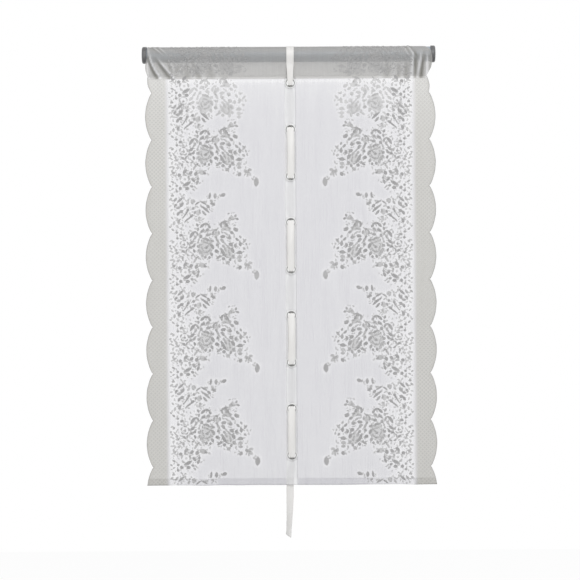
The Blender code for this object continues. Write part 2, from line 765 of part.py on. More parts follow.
def main():
    """Clears the scene and builds the curtain."""
    for old in list(bpy.data.objects):
        bpy.data.objects.remove(old, do_unlink=True)
    collection = bpy.data.collections.new("lace_lift_curtain")
    bpy.context.scene.collection.children.link(collection)
    add_pole(collection)
    add_caps(collection)
    add_lace_panel(collection)
    add_tape(collection)
    add_eyelets(collection)
    add_ribbon(collection)


main()
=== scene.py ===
"""A lace lift-up curtain on its pole, dressed in cloth, thread, satin, plastic and metal.

Metres, +Z up. The origin is on the pole's axis, where the curtain's centre line crosses it. The pole runs
along X, and the side that faces the room is -Y. A place on the lace is given flat, as it was cut: across
from the centre line, and up from the pole's axis. Above the seam its height goes on round the pole.
"""

import logging
import math
from dataclasses import astuple, dataclass, field
from enum import Enum

import bpy
import numpy as np
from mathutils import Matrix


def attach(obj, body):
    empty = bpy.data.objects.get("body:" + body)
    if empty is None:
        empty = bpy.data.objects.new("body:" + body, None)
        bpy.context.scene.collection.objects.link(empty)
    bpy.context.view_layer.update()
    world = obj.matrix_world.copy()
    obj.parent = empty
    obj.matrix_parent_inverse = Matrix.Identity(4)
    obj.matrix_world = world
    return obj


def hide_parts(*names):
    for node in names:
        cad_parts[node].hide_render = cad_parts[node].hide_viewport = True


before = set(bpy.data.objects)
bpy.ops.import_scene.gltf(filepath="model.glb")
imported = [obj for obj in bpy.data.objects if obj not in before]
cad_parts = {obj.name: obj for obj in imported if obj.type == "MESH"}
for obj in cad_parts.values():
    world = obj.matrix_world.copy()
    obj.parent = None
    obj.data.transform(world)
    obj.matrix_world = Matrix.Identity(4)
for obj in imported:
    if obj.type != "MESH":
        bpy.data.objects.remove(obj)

LOG = logging.getLogger("lace_curtain")
MM = 0.001
Colour = tuple[float, float, float]


class Side(Enum):
    """One half of the curtain, by the sign of its X."""

    LEFT = -1
    RIGHT = 1


class Held(Enum):
    """How a sheet of cloth is held up."""

    HUNG = "hung"


# Small tools for meshes and materials


def ease(value: np.ndarray, low: float, high: float) -> np.ndarray:
    """An even rise from 0 at low to 1 at high.

    Args:
        value: Where to read the rise.
        low: The value that gives 0.
        high: The value that gives 1.

    Returns:
        The rise, as large as value.
    """
    share = np.clip((np.asarray(value, float) - low) / (high - low), 0.0, 1.0)
    return share * share * (3 - 2 * share)


def linked(name: str, data: bpy.types.ID) -> bpy.types.Object:
    """A new object of data, linked to the scene."""
    made = bpy.data.objects.new(name, data)
    bpy.context.scene.collection.objects.link(made)
    return made


@dataclass
class Weave:
    """Vertices, four-sided faces and values on vertices, gathered for one object."""

    points: list[np.ndarray] = field(default_factory=list)
    faces: list[np.ndarray] = field(default_factory=list)
    values: dict[str, list[np.ndarray]] = field(default_factory=dict)
    count: int = 0

    def add_grids(self, grid: np.ndarray, wrap: bool = False, **values: np.ndarray) -> np.ndarray:
        """Adds one or more grids of points.

        Args:
            grid: Points as (grids, rows, columns, 3), or (rows, columns, 3) for one grid.
            wrap: Whether the last column joins the first.
            values: A number for each point, by the attribute's name, as (grids, rows, columns).

        Returns:
            The new faces, for a caller that drops some of them.
        """
        if grid.ndim == 3:
            grid = grid[None]
        grids, rows, columns = grid.shape[:3]
        index = self.count + np.arange(grids * rows * columns).reshape(grids, rows, columns)
        if wrap:
            index = np.concatenate([index, index[:, :, :1]], axis=2)
        corners = [index[:, :-1, :-1], index[:, :-1, 1:], index[:, 1:, 1:], index[:, 1:, :-1]]
        faces = np.stack(corners, axis=-1).reshape(-1, 4)
        self.points.append(grid.reshape(-1, 3))
        self.faces.append(faces)
        for name, value in values.items():
            flat = np.broadcast_to(value, (grids, rows, columns)).reshape(-1)
            self.values.setdefault(name, []).append(flat)
        self.count += grids * rows * columns
        return faces

    def build(self, name: str, finish: bpy.types.Material) -> bpy.types.Object:
        """Makes the object.

        Args:
            name: The piece's name.
            finish: Its material.

        Returns:
            The new object, smooth shaded and linked to the scene.
        """
        points = np.concatenate(self.points)
        faces = np.concatenate(self.faces)
        used = np.unique(faces)
        place = np.full(len(points), -1)
        place[used] = np.arange(len(used))
        mesh = bpy.data.meshes.new(name)
        mesh.from_pydata(points[used].tolist(), [], place[faces].tolist())
        for key, parts in self.values.items():
            attribute = mesh.attributes.new(key, "FLOAT", "POINT")
            attribute.data.foreach_set("value", np.concatenate(parts)[used].astype(np.float32))
        mesh.materials.append(finish)
        mesh.shade_smooth()
        return linked(name, mesh)


def woven(
    name: str, finish: bpy.types.Material, grid: np.ndarray, wrap: bool = False, **values: np.ndarray
) -> bpy.types.Object:
    """An object of grids alone, as add_grids takes them."""
    weave = Weave()
    weave.add_grids(grid, wrap, **values)
    return weave.build(name, finish)


class Recipe:
    """The nodes of a material or of the world, added one at a time."""

    def __init__(self, name: str, world: bool = False) -> None:
        """Starts an empty material, or an empty world, called name."""
        self.owner = (bpy.data.worlds if world else bpy.data.materials).new(name)
        self.owner.use_nodes = True
        self.tree = self.owner.node_tree
        self.tree.nodes.clear()

    def add(
        self, kind: str, sockets: dict[str, object] | None = None, **settings: object
    ) -> bpy.types.Node:
        """Adds a node.

        Args:
            kind: The node's type name.
            sockets: Input name or number to a value, or to a socket to link from.
            settings: Properties of the node itself.

        Returns:
            The node.
        """
        node = self.tree.nodes.new(kind)
        for key, value in settings.items():
            setattr(node, key, value)
        for key, value in (sockets or {}).items():
            if isinstance(value, bpy.types.NodeSocket):
                self.tree.links.new(value, node.inputs[key])
            else:
                node.inputs[key].default_value = value
        return node

    def maths(self, operation: str, first: object, second: object, clamp: bool = False):
        """The output of a Math node.

        Args:
            operation: Blender's name for it.
            first: The first number or socket.
            second: The second number or socket.
            clamp: Whether the result stays between 0 and 1.

        Returns:
            The output socket.
        """
        node = self.add("ShaderNodeMath", {0: first, 1: second}, operation=operation, use_clamp=clamp)
        return node.outputs[0]

    def plus(self, first: object, second: object, clamp: bool = False):
        """The socket of first plus second."""
        return self.maths("ADD", first, second, clamp)

    def minus(self, first: object, second: object, clamp: bool = False):
        """The socket of first less second."""
        return self.maths("SUBTRACT", first, second, clamp)

    def times(self, first: object, second: object, clamp: bool = False):
        """The socket of first times second."""
        return self.maths("MULTIPLY", first, second, clamp)

    def larger(self, first: object, second: object):
        """The socket of the larger of first and second."""
        return self.maths("MAXIMUM", first, second)

    def value(self, name: str):
        """The socket of a number kept on the vertices."""
        return self.add("ShaderNodeAttribute", attribute_name=name).outputs["Fac"]

    def place(self):
        """The socket of the place in the object's own axes."""
        return self.add("ShaderNodeTexCoord").outputs["Object"]

    def flat_place(self) -> tuple:
        """The sockets (across, up, both as one) of a cloth's flat place, kept on its vertices in metres."""
        across, up = self.value("across"), self.value("up")
        return across, up, self.add("ShaderNodeCombineXYZ", {"X": across, "Y": up}).outputs[0]

    def blend(self, factor: object, low: object, high: object):
        """The socket of a colour between low, at factor 0, and high, at 1, each a colour or a socket."""
        ends = [(*end, 1.0) if isinstance(end, tuple) else end for end in (low, high)]
        node = self.add("ShaderNodeMix", {"Factor": factor, 6: ends[0], 7: ends[1]}, data_type="RGBA")
        return node.outputs[2]

    def noise(self, vector: object, scale: float, detail: float = 2.0):
        """The socket of a noise from 0 to 1 at vector."""
        node = self.add("ShaderNodeTexNoise", {"Vector": vector, "Scale": scale, "Detail": detail})
        return node.outputs["Fac"]

    def stretched(self, vector: object, scale: tuple[float, float, float]):
        """The socket of vector with each axis scaled by itself."""
        node = self.add("ShaderNodeMapping", {"Vector": vector, "Scale": scale})
        return node.outputs["Vector"]

    def woven_line(self, place: object, pitch: float, width: float):
        """Threads at a pitch: 1 on a thread and 0 between.

        Args:
            place: The socket of the place across the threads, in metres.
            pitch: From one thread to the next.
            width: The thread's share of the pitch.

        Returns:
            The socket.
        """
        wave = self.maths("SINE", self.times(place, math.pi / pitch), 0.0)
        sharp = self.minus(self.maths("ABSOLUTE", wave, 0.0), 1 - width)
        return self.times(sharp, 1 / width, clamp=True)

    def bump(self, height: object, strength: float, distance: float):
        """The normal socket of a bump."""
        sockets = {"Height": height, "Strength": strength, "Distance": distance}
        return self.add("ShaderNodeBump", sockets).outputs["Normal"]

    def surface(self, colour: object, roughness: object, normal: object, **more: float):
        """The socket of a plain surface; more names further inputs, with underscores for spaces."""
        sockets = {"Base Color": colour, "Roughness": roughness, "Normal": normal}
        sockets |= {name.replace("_", " "): value for name, value in more.items()}
        return self.add("ShaderNodeBsdfPrincipled", sockets).outputs[0]

    def mixed(self, share: object, low: object, high: object):
        """The socket of a shader between low, at share 0, and high, at 1."""
        return self.add("ShaderNodeMixShader", {0: share, 1: low, 2: high}).outputs[0]

    def open_weave(self, share: object, thread: object) -> bpy.types.Material:
        """Finishes a material that is thread at share 1 and clear at share 0."""
        clear = self.add("ShaderNodeBsdfTransparent").outputs[0]
        return self.finish(self.mixed(share, clear, thread))

    def finish(self, shader: object) -> bpy.types.Material | bpy.types.World:
        """Links shader to the output and returns what the nodes belong to."""
        of_world = isinstance(self.owner, bpy.types.World)
        self.add("ShaderNodeOutputWorld" if of_world else "ShaderNodeOutputMaterial", {"Surface": shader})
        return self.owner


# Finishes


@dataclass(frozen=True)
class SheerLace:
    """Open net with a lattice in its borders. The share of thread at each place is kept on the vertices.
    Its colour carries painted light: a painted highlight on the header's fold crests and painted shade in
    their valleys.
    """

    ground: Colour = (0.49, 0.482, 0.53)
    border: Colour = (0.56, 0.55, 0.52)
    # The next colour is the centre band's, and the painted highlight on the header's fold crests; the one
    # after it is the painted shade in their valleys.
    band: Colour = (0.88, 0.88, 0.885)
    valley_shade: Colour = (0.24, 0.235, 0.21)
    net_pitch: float = 1.9 * MM
    net_depth: float = 0.22
    lattice_pitch: float = 8.5 * MM
    lattice_depth: float = 0.24
    streak: float = 0.16
    least_cover: float = 0.04
    most_cover: float = 0.97
    translucence: float = 0.25

    def make(self) -> bpy.types.Material:
        """The material."""
        recipe = Recipe("lace_net")
        across, up, place = recipe.flat_place()
        net = recipe.larger(
            recipe.woven_line(across, self.net_pitch, 0.55),
            recipe.woven_line(up, self.net_pitch * 1.2, 0.45),
        )
        lattice = recipe.larger(
            recipe.woven_line(recipe.plus(across, up), self.lattice_pitch, 0.3),
            recipe.woven_line(recipe.minus(across, up), self.lattice_pitch, 0.3),
        )
        streaks = recipe.noise(recipe.stretched(place, (1.0, 0.03, 1.0)), 420.0, 3.0)
        broad = recipe.noise(recipe.stretched(place, (1.0, 0.12, 1.0)), 45.0)
        shade = recipe.plus(streaks, recipe.times(broad, 0.8))
        shade = recipe.times(recipe.minus(shade, 0.9), self.streak)
        woven = recipe.times(recipe.minus(net, 0.55), self.net_depth)
        border = recipe.value("border")
        latticed = recipe.times(recipe.minus(border, 0.8), 5.0, clamp=True)
        crossed = recipe.times(recipe.minus(lattice, 0.3), self.lattice_depth)
        crossed = recipe.times(crossed, latticed)
        share = recipe.plus(recipe.plus(recipe.value("cover"), shade), recipe.plus(woven, crossed))
        share = recipe.larger(recipe.maths("MINIMUM", share, self.most_cover), self.least_cover)
        # In the header, band above 0 paints a highlight on the fold crests and below 0 paints shade in
        # their valleys; below the header, band marks the centre band.
        band = recipe.value("band")
        colour = recipe.blend(border, self.ground, self.border)
        for sign, other in ((1.0, self.band), (-1.0, self.valley_shade)):
            colour = recipe.blend(recipe.times(band, sign, clamp=True), colour, other)
        normal = recipe.bump(recipe.plus(net, recipe.times(lattice, latticed)), 0.35, 0.0002)
        thread = recipe.surface(colour, 0.85, normal, Sheen_Weight=0.15)
        through = recipe.add("ShaderNodeBsdfTranslucent", {"Color": colour}).outputs[0]
        return recipe.open_weave(share, recipe.mixed(self.translucence, thread, through))


@dataclass(frozen=True)
class FigureThread:
    """The dense thread of the woven figures, thicker and darker where tone is nearer 1. The darker grey is
    painted shade: dense thread looks darker than the net only with light behind it.
    """

    light: Colour = (0.53, 0.525, 0.52)
    # The painted shade of the densest strokes.
    dark: Colour = (0.33, 0.325, 0.325)
    thinnest: float = 0.50
    thickest: float = 0.93

    def make(self) -> bpy.types.Material:
        """The material."""
        recipe = Recipe("figure_thread")
        tone = recipe.value("tone")
        place = recipe.place()
        strands = recipe.noise(recipe.stretched(place, (1.0, 1.0, 0.35)), 900.0)
        patch = recipe.noise(place, 240.0)
        shade = recipe.plus(recipe.times(strands, 0.5), recipe.times(patch, 0.6))
        darkness = recipe.plus(tone, recipe.minus(shade, 0.55), clamp=True)
        colour = recipe.blend(darkness, self.light, self.dark)
        thread = recipe.surface(colour, 0.75, recipe.bump(strands, 0.5, 0.0003), Sheen_Weight=0.1)
        gaps = recipe.times(recipe.minus(strands, 0.5), 0.5)
        span = recipe.times(tone, self.thickest - self.thinnest)
        share = recipe.plus(recipe.plus(span, self.thinnest), gaps, clamp=True)
        return recipe.open_weave(share, thread)


@dataclass(frozen=True)
class SewingThread:
    """Twisted thread of stitches and edge cords."""

    name: str = "sewing_thread"
    colour: Colour = (0.62, 0.61, 0.58)
    shaded: float = 0.78

    def make(self) -> bpy.types.Material:
        """The material."""
        recipe = Recipe(self.name)
        twist = recipe.noise(recipe.stretched(recipe.place(), (1.0, 1.0, 1.6)), 1500.0, 1.0)
        colour = recipe.blend(twist, tuple(self.shaded * c for c in self.colour), self.colour)
        return recipe.finish(recipe.surface(colour, 0.7, recipe.bump(twist, 0.5, 0.0002)))


@dataclass(frozen=True)
class SheerTape:
    """The facing strip behind the eyelets, a plain weave that lets light through."""

    colour: Colour = (0.93, 0.925, 0.93)
    cover: float = 0.6
    depth: float = 0.16
    edge: float = 0.3
    most_cover: float = 0.96
    pitch: float = 1.1 * MM

    def make(self) -> bpy.types.Material:
        """The material."""
        recipe = Recipe("tape_weave")
        across, up, _ = recipe.flat_place()
        warp = recipe.woven_line(across, self.pitch, 0.6)
        weft = recipe.woven_line(up, self.pitch, 0.6)
        woven = recipe.times(recipe.plus(warp, weft), self.depth)
        share = recipe.plus(woven, self.cover - self.depth)
        share = recipe.plus(share, recipe.times(recipe.value("border"), self.edge))
        thread = recipe.surface((*self.colour, 1.0), 0.8, recipe.bump(woven, 0.5, 0.0003))
        return recipe.open_weave(recipe.maths("MINIMUM", share, self.most_cover), thread)


@dataclass(frozen=True)
class Satin:
    """Ribbon satin: fine warp lines along its length and woven edges. Its colour goes towards shade, a
    painted shade, at the woven edges, and varies in streaks along the warp.
    """

    colour: Colour = (0.86, 0.855, 0.84)
    shade: Colour = (0.72, 0.70, 0.67)
    rib_pitch: float = 0.9 * MM

    def make(self) -> bpy.types.Material:
        """The material."""
        recipe = Recipe("ribbon_satin_weave")
        _, up, place = recipe.flat_place()
        warp = recipe.noise(recipe.stretched(place, (1.0, 0.02, 1.0)), 2600.0)
        ribs = recipe.woven_line(up, self.rib_pitch, 0.5)
        edge = recipe.value("border")
        marks = recipe.noise(recipe.stretched(place, (1.0, 0.3, 1.0)), 90.0)
        # Random streaks along the warp, and painted shade towards the woven edges.
        tone_mix = recipe.times(recipe.plus(warp, marks), 0.5)
        tone_mix = recipe.minus(tone_mix, recipe.times(edge, 0.3), clamp=True)
        colour = recipe.blend(tone_mix, self.shade, self.colour)
        height = recipe.plus(warp, recipe.times(ribs, recipe.times(edge, 1.5)))
        rough = recipe.plus(recipe.times(warp, 0.2), 0.32)
        normal = recipe.bump(height, 0.25, 0.0002)
        return recipe.finish(recipe.surface(colour, rough, normal, Sheen_Weight=0.2))


@dataclass(frozen=True)
class MouldedPlastic:
    """Moulded plastic with a faint grain and lighter rubbed patches."""

    name: str
    colour: Colour
    rubbed: Colour
    roughness: float
    grain: float = 1400.0
    # The colour of the painted shade in an eyelet's bore.
    bore_shade: Colour = (0.22, 0.22, 0.215)

    def make(self) -> bpy.types.Material:
        """The material, darkened with painted shade where the vertices mark a place in an eyelet's bore."""
        recipe = Recipe(self.name)
        place = recipe.place()
        grain = recipe.noise(place, self.grain)
        wear = recipe.noise(place, 130.0, 4.0)
        patch = recipe.times(recipe.minus(wear, 0.45), 2.2, clamp=True)
        colour = recipe.blend(patch, self.colour, self.rubbed)
        # Painted shade in an eyelet's bore.
        colour = recipe.blend(recipe.value("throat"), colour, self.bore_shade)
        rough = recipe.plus(recipe.times(grain, 0.2), self.roughness - 0.1)
        return recipe.finish(recipe.surface(colour, rough, recipe.bump(grain, 0.15, 0.0002)))


@dataclass(frozen=True)
class DrawnTube:
    """Satin grey metal with fine lines drawn along the tube."""

    colour: Colour = (0.31, 0.35, 0.39)
    bright: Colour = (0.41, 0.45, 0.49)

    def make(self) -> bpy.types.Material:
        """The material."""
        recipe = Recipe("pole_drawn_metal")
        place = recipe.place()
        lines = recipe.noise(recipe.stretched(place, (0.02, 1.0, 1.0)), 1800.0)
        marks = recipe.noise(place, 60.0, 3.0)
        tone_mix = recipe.times(recipe.plus(lines, marks), 0.5)
        colour = recipe.blend(tone_mix, self.colour, self.bright)
        rough = recipe.plus(recipe.times(lines, 0.2), 0.28)
        normal = recipe.bump(lines, 0.1, 0.0001)
        return recipe.finish(recipe.surface(colour, rough, normal, Metallic=0.35))


# The cut and hang of the lace


@dataclass(frozen=True)
class Fold:
    """A fold in the bunched header, with a painted highlight on its crest and painted shade along its outer
    side.

    foot is its distance from the header's end at the seam, and lean and curve shape its way up from there.
    It stands between the heights low and reach above the seam.
    """

    foot: float
    lean: float
    width: float
    height: float
    reach: float = 0.060
    curve: float = 0.0
    low: float = -0.012

    def off(self, near: np.ndarray, rise: np.ndarray) -> np.ndarray:
        """How many widths inward of the crest a place is, near the header's end and rise above the seam."""
        width = self.width * (1.2 - 0.5 * np.clip(rise / 0.06, 0.0, 1.0))
        return (near - (self.foot - self.lean * rise + self.curve * rise**2)) / width

    def strength(self, rise: np.ndarray) -> np.ndarray:
        """How strongly the fold stands at each height above the seam, from 0 to 1."""
        return ease(rise, self.low, self.low + 0.012) * (1 - ease(rise, 0.5 * self.reach, self.reach))


LEFT_FOLDS = (
    Fold(0.0015, 0.03, 0.0026, 0.0034, 0.045),
    Fold(0.0265, 0.74, 0.0026, 0.0058, 0.066, 5.9),
    Fold(0.0552, 0.83, 0.0034, 0.0048, 0.046),
    Fold(0.0620, 0.42, 0.0026, 0.0030, 0.036, 0.0, 0.004),
    Fold(0.0583, -0.77, 0.0030, 0.0026, 0.036, 0.0, 0.002),
    Fold(0.1200, 0.52, 0.0040, 0.0024, 0.042),
    Fold(0.0990, 0.20, 0.0050, 0.0016, 0.036),
    Fold(0.1500, 0.30, 0.0050, 0.0015, 0.034),
    Fold(0.0887, 1.20, 0.0030, 0.0026, 0.160, 0.0, 0.042),
    Fold(0.0995, 1.20, 0.0030, 0.0022, 0.160, 0.0, 0.044),
)
RIGHT_FOLDS = (
    Fold(-0.0015, 0.00, 0.0026, 0.0040, 0.058),
    Fold(0.0195, 0.17, 0.0030, 0.0056, 0.060),
    Fold(0.0314, 0.02, 0.0034, 0.0050, 0.060),
    Fold(0.0525, 0.05, 0.0034, 0.0026, 0.038),
    Fold(0.0700, 0.10, 0.0045, 0.0018, 0.036),
    Fold(0.0990, 0.15, 0.0050, 0.0016, 0.036),
    Fold(-0.0010, -0.65, 0.0028, 0.0030, 0.160, 0.0, 0.034),
    Fold(0.0135, -0.58, 0.0026, 0.0024, 0.160, 0.0, 0.036),
)


@dataclass(frozen=True)
class Drag:
    """A soft ridge down to the hem.

    height is a share of the cloth's drag_height, towards the back where it is above zero. top and foot are
    its ends as shares of the half width, and rise is how far its top lies above the hem.
    """

    height: float
    top: float
    rise: float
    foot: float


DRAGS = (
    Drag(-1.0, -0.80, 0.17, -0.62),
    Drag(0.6, -0.56, 0.12, -0.47),
    Drag(-0.5, -0.40, 0.09, -0.36),
    Drag(-1.0, 0.93, 0.16, 0.83),
    Drag(0.5, 0.83, 0.22, 0.77),
)


@dataclass(frozen=True)
class Cloth:
    """The lace's sizes, and where each flat place on it hangs."""

    width: float = 0.623
    drop: float = 0.925
    hem: float = 0.015
    pocket: float = 0.0475
    header_left: float = -0.306
    header_right: float = 0.293
    thickness: float = 0.0006
    pole_radius: float = 0.016
    gap: float = 0.0003
    scallop_pitch: float = 0.1005
    scallop_depth: float = 0.014
    first_notch: float = 0.082
    corner_swell: float = 0.0035
    pucker: float = 0.0004
    flare_left: tuple[float, float] = (0.0045, 0.045)
    flare_right: tuple[float, float] = (0.0118, 0.074)
    tuck_right: float = 0.004
    over_cap: float = 0.0045
    lip: float = 0.003
    tallest: float = 0.0052
    cap_left: float = 0.3078
    cap_right: float = 0.3018
    first_eyelet: float = 0.061
    eyelet_pitch: float = 0.100
    eyelet_count: int = 9
    billow_height: float = 0.0035
    billow_pitch: float = 0.23
    drag_height: float = 0.006
    drag_width: float = 0.020

    @property
    def seam(self) -> float:
        """The flat height of the pocket's seam."""
        return -self.pocket

    def eyelet_drops(self) -> list[float]:
        """How far below the pole's axis each eyelet lies, on the centre line."""
        return [self.first_eyelet + self.eyelet_pitch * number for number in range(self.eyelet_count)]

    def section(self) -> np.ndarray:
        """The pocket's section from the front seam over the pole to the back seam.

        Returns:
            Rows of (length from the front seam, y, z, outward y, outward z).
        """
        radius = self.pole_radius + self.gap + self.thickness
        half = self.thickness / 2
        lean = math.acos(radius / math.hypot(half, self.pocket))
        start = -math.pi / 2 - lean
        sweep = 2 * (math.pi - lean)
        angles = start - sweep * np.linspace(0, 1, 49)
        out = np.stack([np.cos(angles), np.sin(angles)], axis=1)
        arc = np.concatenate([radius * out, out], axis=1)
        front = np.array([[-half, -self.pocket, math.cos(start), math.sin(start)]])
        back = front * (-1, 1, -1, 1)
        rows = np.concatenate([front, arc, back])
        steps = np.hypot(np.diff(rows[:, 0]), np.diff(rows[:, 1]))
        return np.column_stack([np.concatenate([[0.0], np.cumsum(steps)]), rows])

    def back_seam(self) -> float:
        """The flat height at which the cloth comes back to the seam behind the pole."""
        return self.seam + float(self.section()[-1, 0])

    def edge(self, side: Side, up: np.ndarray) -> np.ndarray:
        """The X of one side's edge.

        Args:
            side: Which side.
            up: Flat heights.

        Returns:
            X at each height: scallops below the first notch, and a straight header above the seam.
        """
        sign = side.value
        corner = self.header_left if side is Side.LEFT else self.header_right
        notch = self.width / 2 - self.scallop_depth
        turn = np.mod((-self.first_notch - up) / self.scallop_pitch, 1.0)
        scallop = sign * (notch + self.scallop_depth * np.abs(np.sin(np.pi * turn)) ** 0.75)
        share = np.clip((self.seam - up) / (self.first_notch - self.pocket), 0.0, 1.0)
        swell = self.corner_swell * np.sin(np.pi * share)
        flare, length = self.flare_left if side is Side.LEFT else self.flare_right
        swell = swell + flare * np.sin(np.pi * np.clip((up - self.seam) / length, 0.0, 1.0))
        if side is Side.RIGHT:
            swell = swell - self.tuck_right * ease(self.rise(up), 0.008, self.pole_radius)
        top = corner + (sign * notch - corner) * share + sign * swell
        return np.where(up <= -self.first_notch, scallop, top)

    def folds(self, across: np.ndarray, up: np.ndarray) -> list[tuple]:
        """Each fold of the header, how many widths off its crest a place lies, and its strength there."""
        rise = np.clip(up - self.seam, 0.0, 0.065)
        near_left, near_right = across - self.header_left, self.header_right - across
        left = [(fold, fold.off(near_left, rise), fold.strength(rise)) for fold in LEFT_FOLDS]
        return left + [(fold, fold.off(near_right, rise), fold.strength(rise)) for fold in RIGHT_FOLDS]

    def bunch(self, across: np.ndarray, up: np.ndarray) -> np.ndarray:
        """How far the bunched header stands out, in metres, before it fades at the seam.

        Args:
            across: Flat places across.
            up: Flat heights.

        Returns:
            The height of the folds.
        """
        total = np.zeros(np.broadcast(across, up).shape)
        for fold, off, strength in self.folds(across, up):
            soft = np.where(off > 0, 0.7 * off, off)
            total = total + fold.height * strength * np.exp(-soft * soft)
        lip = ease(-across, self.cap_left - self.lip, self.cap_left)
        lip = lip + ease(across, self.cap_right - self.lip, self.cap_right)
        total = np.maximum(total, self.over_cap * lip)
        ripple = np.sin(across * 233.0 + 1.3) * np.sin(across * 91.0)
        ripple = ripple + 0.5 * np.sin(across * 410.0 + up * 9.0)
        away = ease(np.abs(across), 0.02, 0.06)
        return total + self.pucker * away * (0.6 + 0.5 * ripple)

    def rise(self, up: np.ndarray) -> np.ndarray:
        """How high each flat height lies, with the pocket round the pole."""
        rows = self.section()
        return np.where(up > self.seam, np.interp(up - self.seam, rows[:, 0], rows[:, 2]), up)

    def crumple(self, across: np.ndarray, up: np.ndarray) -> np.ndarray:
        """1 on the crests of the header's folds, -1 in the valleys between, and 0 where it lies plain: the
        painted highlight on the crests and the painted shade in the valleys, which also thicken the
        header's cover.
        """
        total = np.zeros(np.broadcast(across, up).shape)
        for fold, off, strength in self.folds(across, self.rise(up)):
            # The crest's profile is a painted highlight, and the dip beside it a painted shade.
            valley_shade = np.exp(-(((off + 2.1) / 1.35) ** 2))
            profile = 1.15 * np.exp(-off * off) - 0.95 * valley_shade
            total = total + strength * fold.height / self.tallest * profile
        return np.clip(total, -1.0, 1.0)

    def drag(self, across: np.ndarray, up: np.ndarray, top: tuple, foot: tuple) -> np.ndarray:
        """A soft ridge that grows along the line from top to foot, as 0 to 1."""
        share = (top[1] - up) / (top[1] - foot[1])
        line = top[0] + (foot[0] - top[0]) * share
        return np.exp(-(((across - line) / self.drag_width) ** 2)) * ease(share, -0.3, 1.0)

    def billow(self, across: np.ndarray, up: np.ndarray) -> np.ndarray:
        """How far back of its own plane the hanging panel lies.

        Args:
            across: Flat places across.
            up: Flat heights, at or below the seam.

        Returns:
            The depth in metres, towards +Y.
        """
        below = self.seam - up
        free = ease(np.abs(across), 0.022, 0.10)
        turn = 2 * math.pi * across / self.billow_pitch
        wave = np.sin(turn + 0.9 + 2.2 * below)
        sway = np.sin(turn / 1.7 - 3.1 * below)
        depth = self.billow_height * (0.6 * wave + 0.4 * sway) * ease(below, 0.0, 0.3)
        fine = np.sin(across * 61.0 + 7.0 * below) * np.sin(across * 23.0 - 5.0 * below + 1.0)
        depth = depth + 0.0009 * fine * ease(below, 0.0, 0.1)
        half = self.width / 2
        low = -self.drop
        for one in DRAGS:
            top, foot = (one.top * half, low + one.rise), (one.foot * half, low)
            depth = depth + one.height * self.drag_height * self.drag(across, up, top, foot)
        fade = 1 - ease(below, 0.0, 0.045)
        return free * depth - 0.7 * self.bunch(across, np.minimum(up, self.seam)) * fade

    def place(self, across: np.ndarray, up: np.ndarray, lift: np.ndarray | float = 0.0) -> np.ndarray:
        """Where flat places on the cloth hang.

        Args:
            across: Flat places across.
            up: Flat heights; above the seam they run up and over the pole, and below the hem they turn up.
            lift: How far out of the cloth's face, towards the room.

        Returns:
            Points, with a last axis of 3.
        """
        across, up, lift = np.broadcast_arrays(across, up, lift)
        low = -self.drop
        turned = up < low
        hanging = np.where(turned, 2 * low - up, np.minimum(up, self.seam))
        behind = np.where(turned, 1.5 * self.thickness, 0.0)
        depth = self.billow(across, hanging) - self.thickness / 2 + behind - lift
        panel = np.stack([across, depth, hanging], axis=-1)
        rows = self.section()
        along = np.clip(up - self.seam, 0.0, rows[-1, 0])
        y, z, out_y, out_z = (np.interp(along, rows[:, 0], rows[:, k]) for k in range(1, 5))
        share = ease(np.minimum(along, rows[-1, 0] - along), 0.0, 0.024)
        over_pole = ease(z, -0.016, 0.012)
        stand = self.bunch(across, z) * (1.0 - 0.55 * over_pole) * share
        sag = (1 - share) * self.billow(across, np.full(up.shape, self.seam))
        off = stand + lift
        header = np.stack([across, y + out_y * off + sag, z + out_z * off], axis=-1)
        return np.where((up > self.seam)[..., None], header, panel)


# The woven rose sprays


@dataclass(frozen=True)
class Stroke:
    """A stroke of dense thread, in millimetres from the main rose of a spray on the left half.

    right and up place its middle, turn is its direction in degrees, tone is 0 for light and 1 for dark
    thread, the dark being denser thread with painted shade, and bend bows its middle sideways.
    """

    right: float
    up: float
    turn: float
    length: float
    width: float
    tone: float
    bend: float = 0.0


def strokes(*rows: tuple[float, ...]) -> tuple[Stroke, ...]:
    """Strokes from rows of their values in order, without bend where it is 0."""
    return tuple(Stroke(*row) for row in rows)


def ring_of(
    right: float, up: float, radius: float, petals: int, width: float, tone: float
) -> list[tuple[float, ...]]:
    """Petals in a ring round an open middle.

    Args:
        right: The ring's middle.
        up: The ring's middle.
        radius: Its radius at the middle of the petals.
        petals: How many.
        width: Each petal's width.
        tone: Their tone.

    Returns:
        The petals' rows for strokes, each along the ring.
    """
    made = []
    length = 2 * math.pi * radius / petals
    for number in range(petals):
        angle = 2 * math.pi * (number + 0.2) / petals
        bow = radius * (1 - math.cos(math.pi / petals))
        middle = radius - 0.3 * bow
        place = (right + middle * math.cos(angle), up + middle * math.sin(angle))
        made.append((*place, math.degrees(angle) + 90, length, width, tone, -bow))
    return made


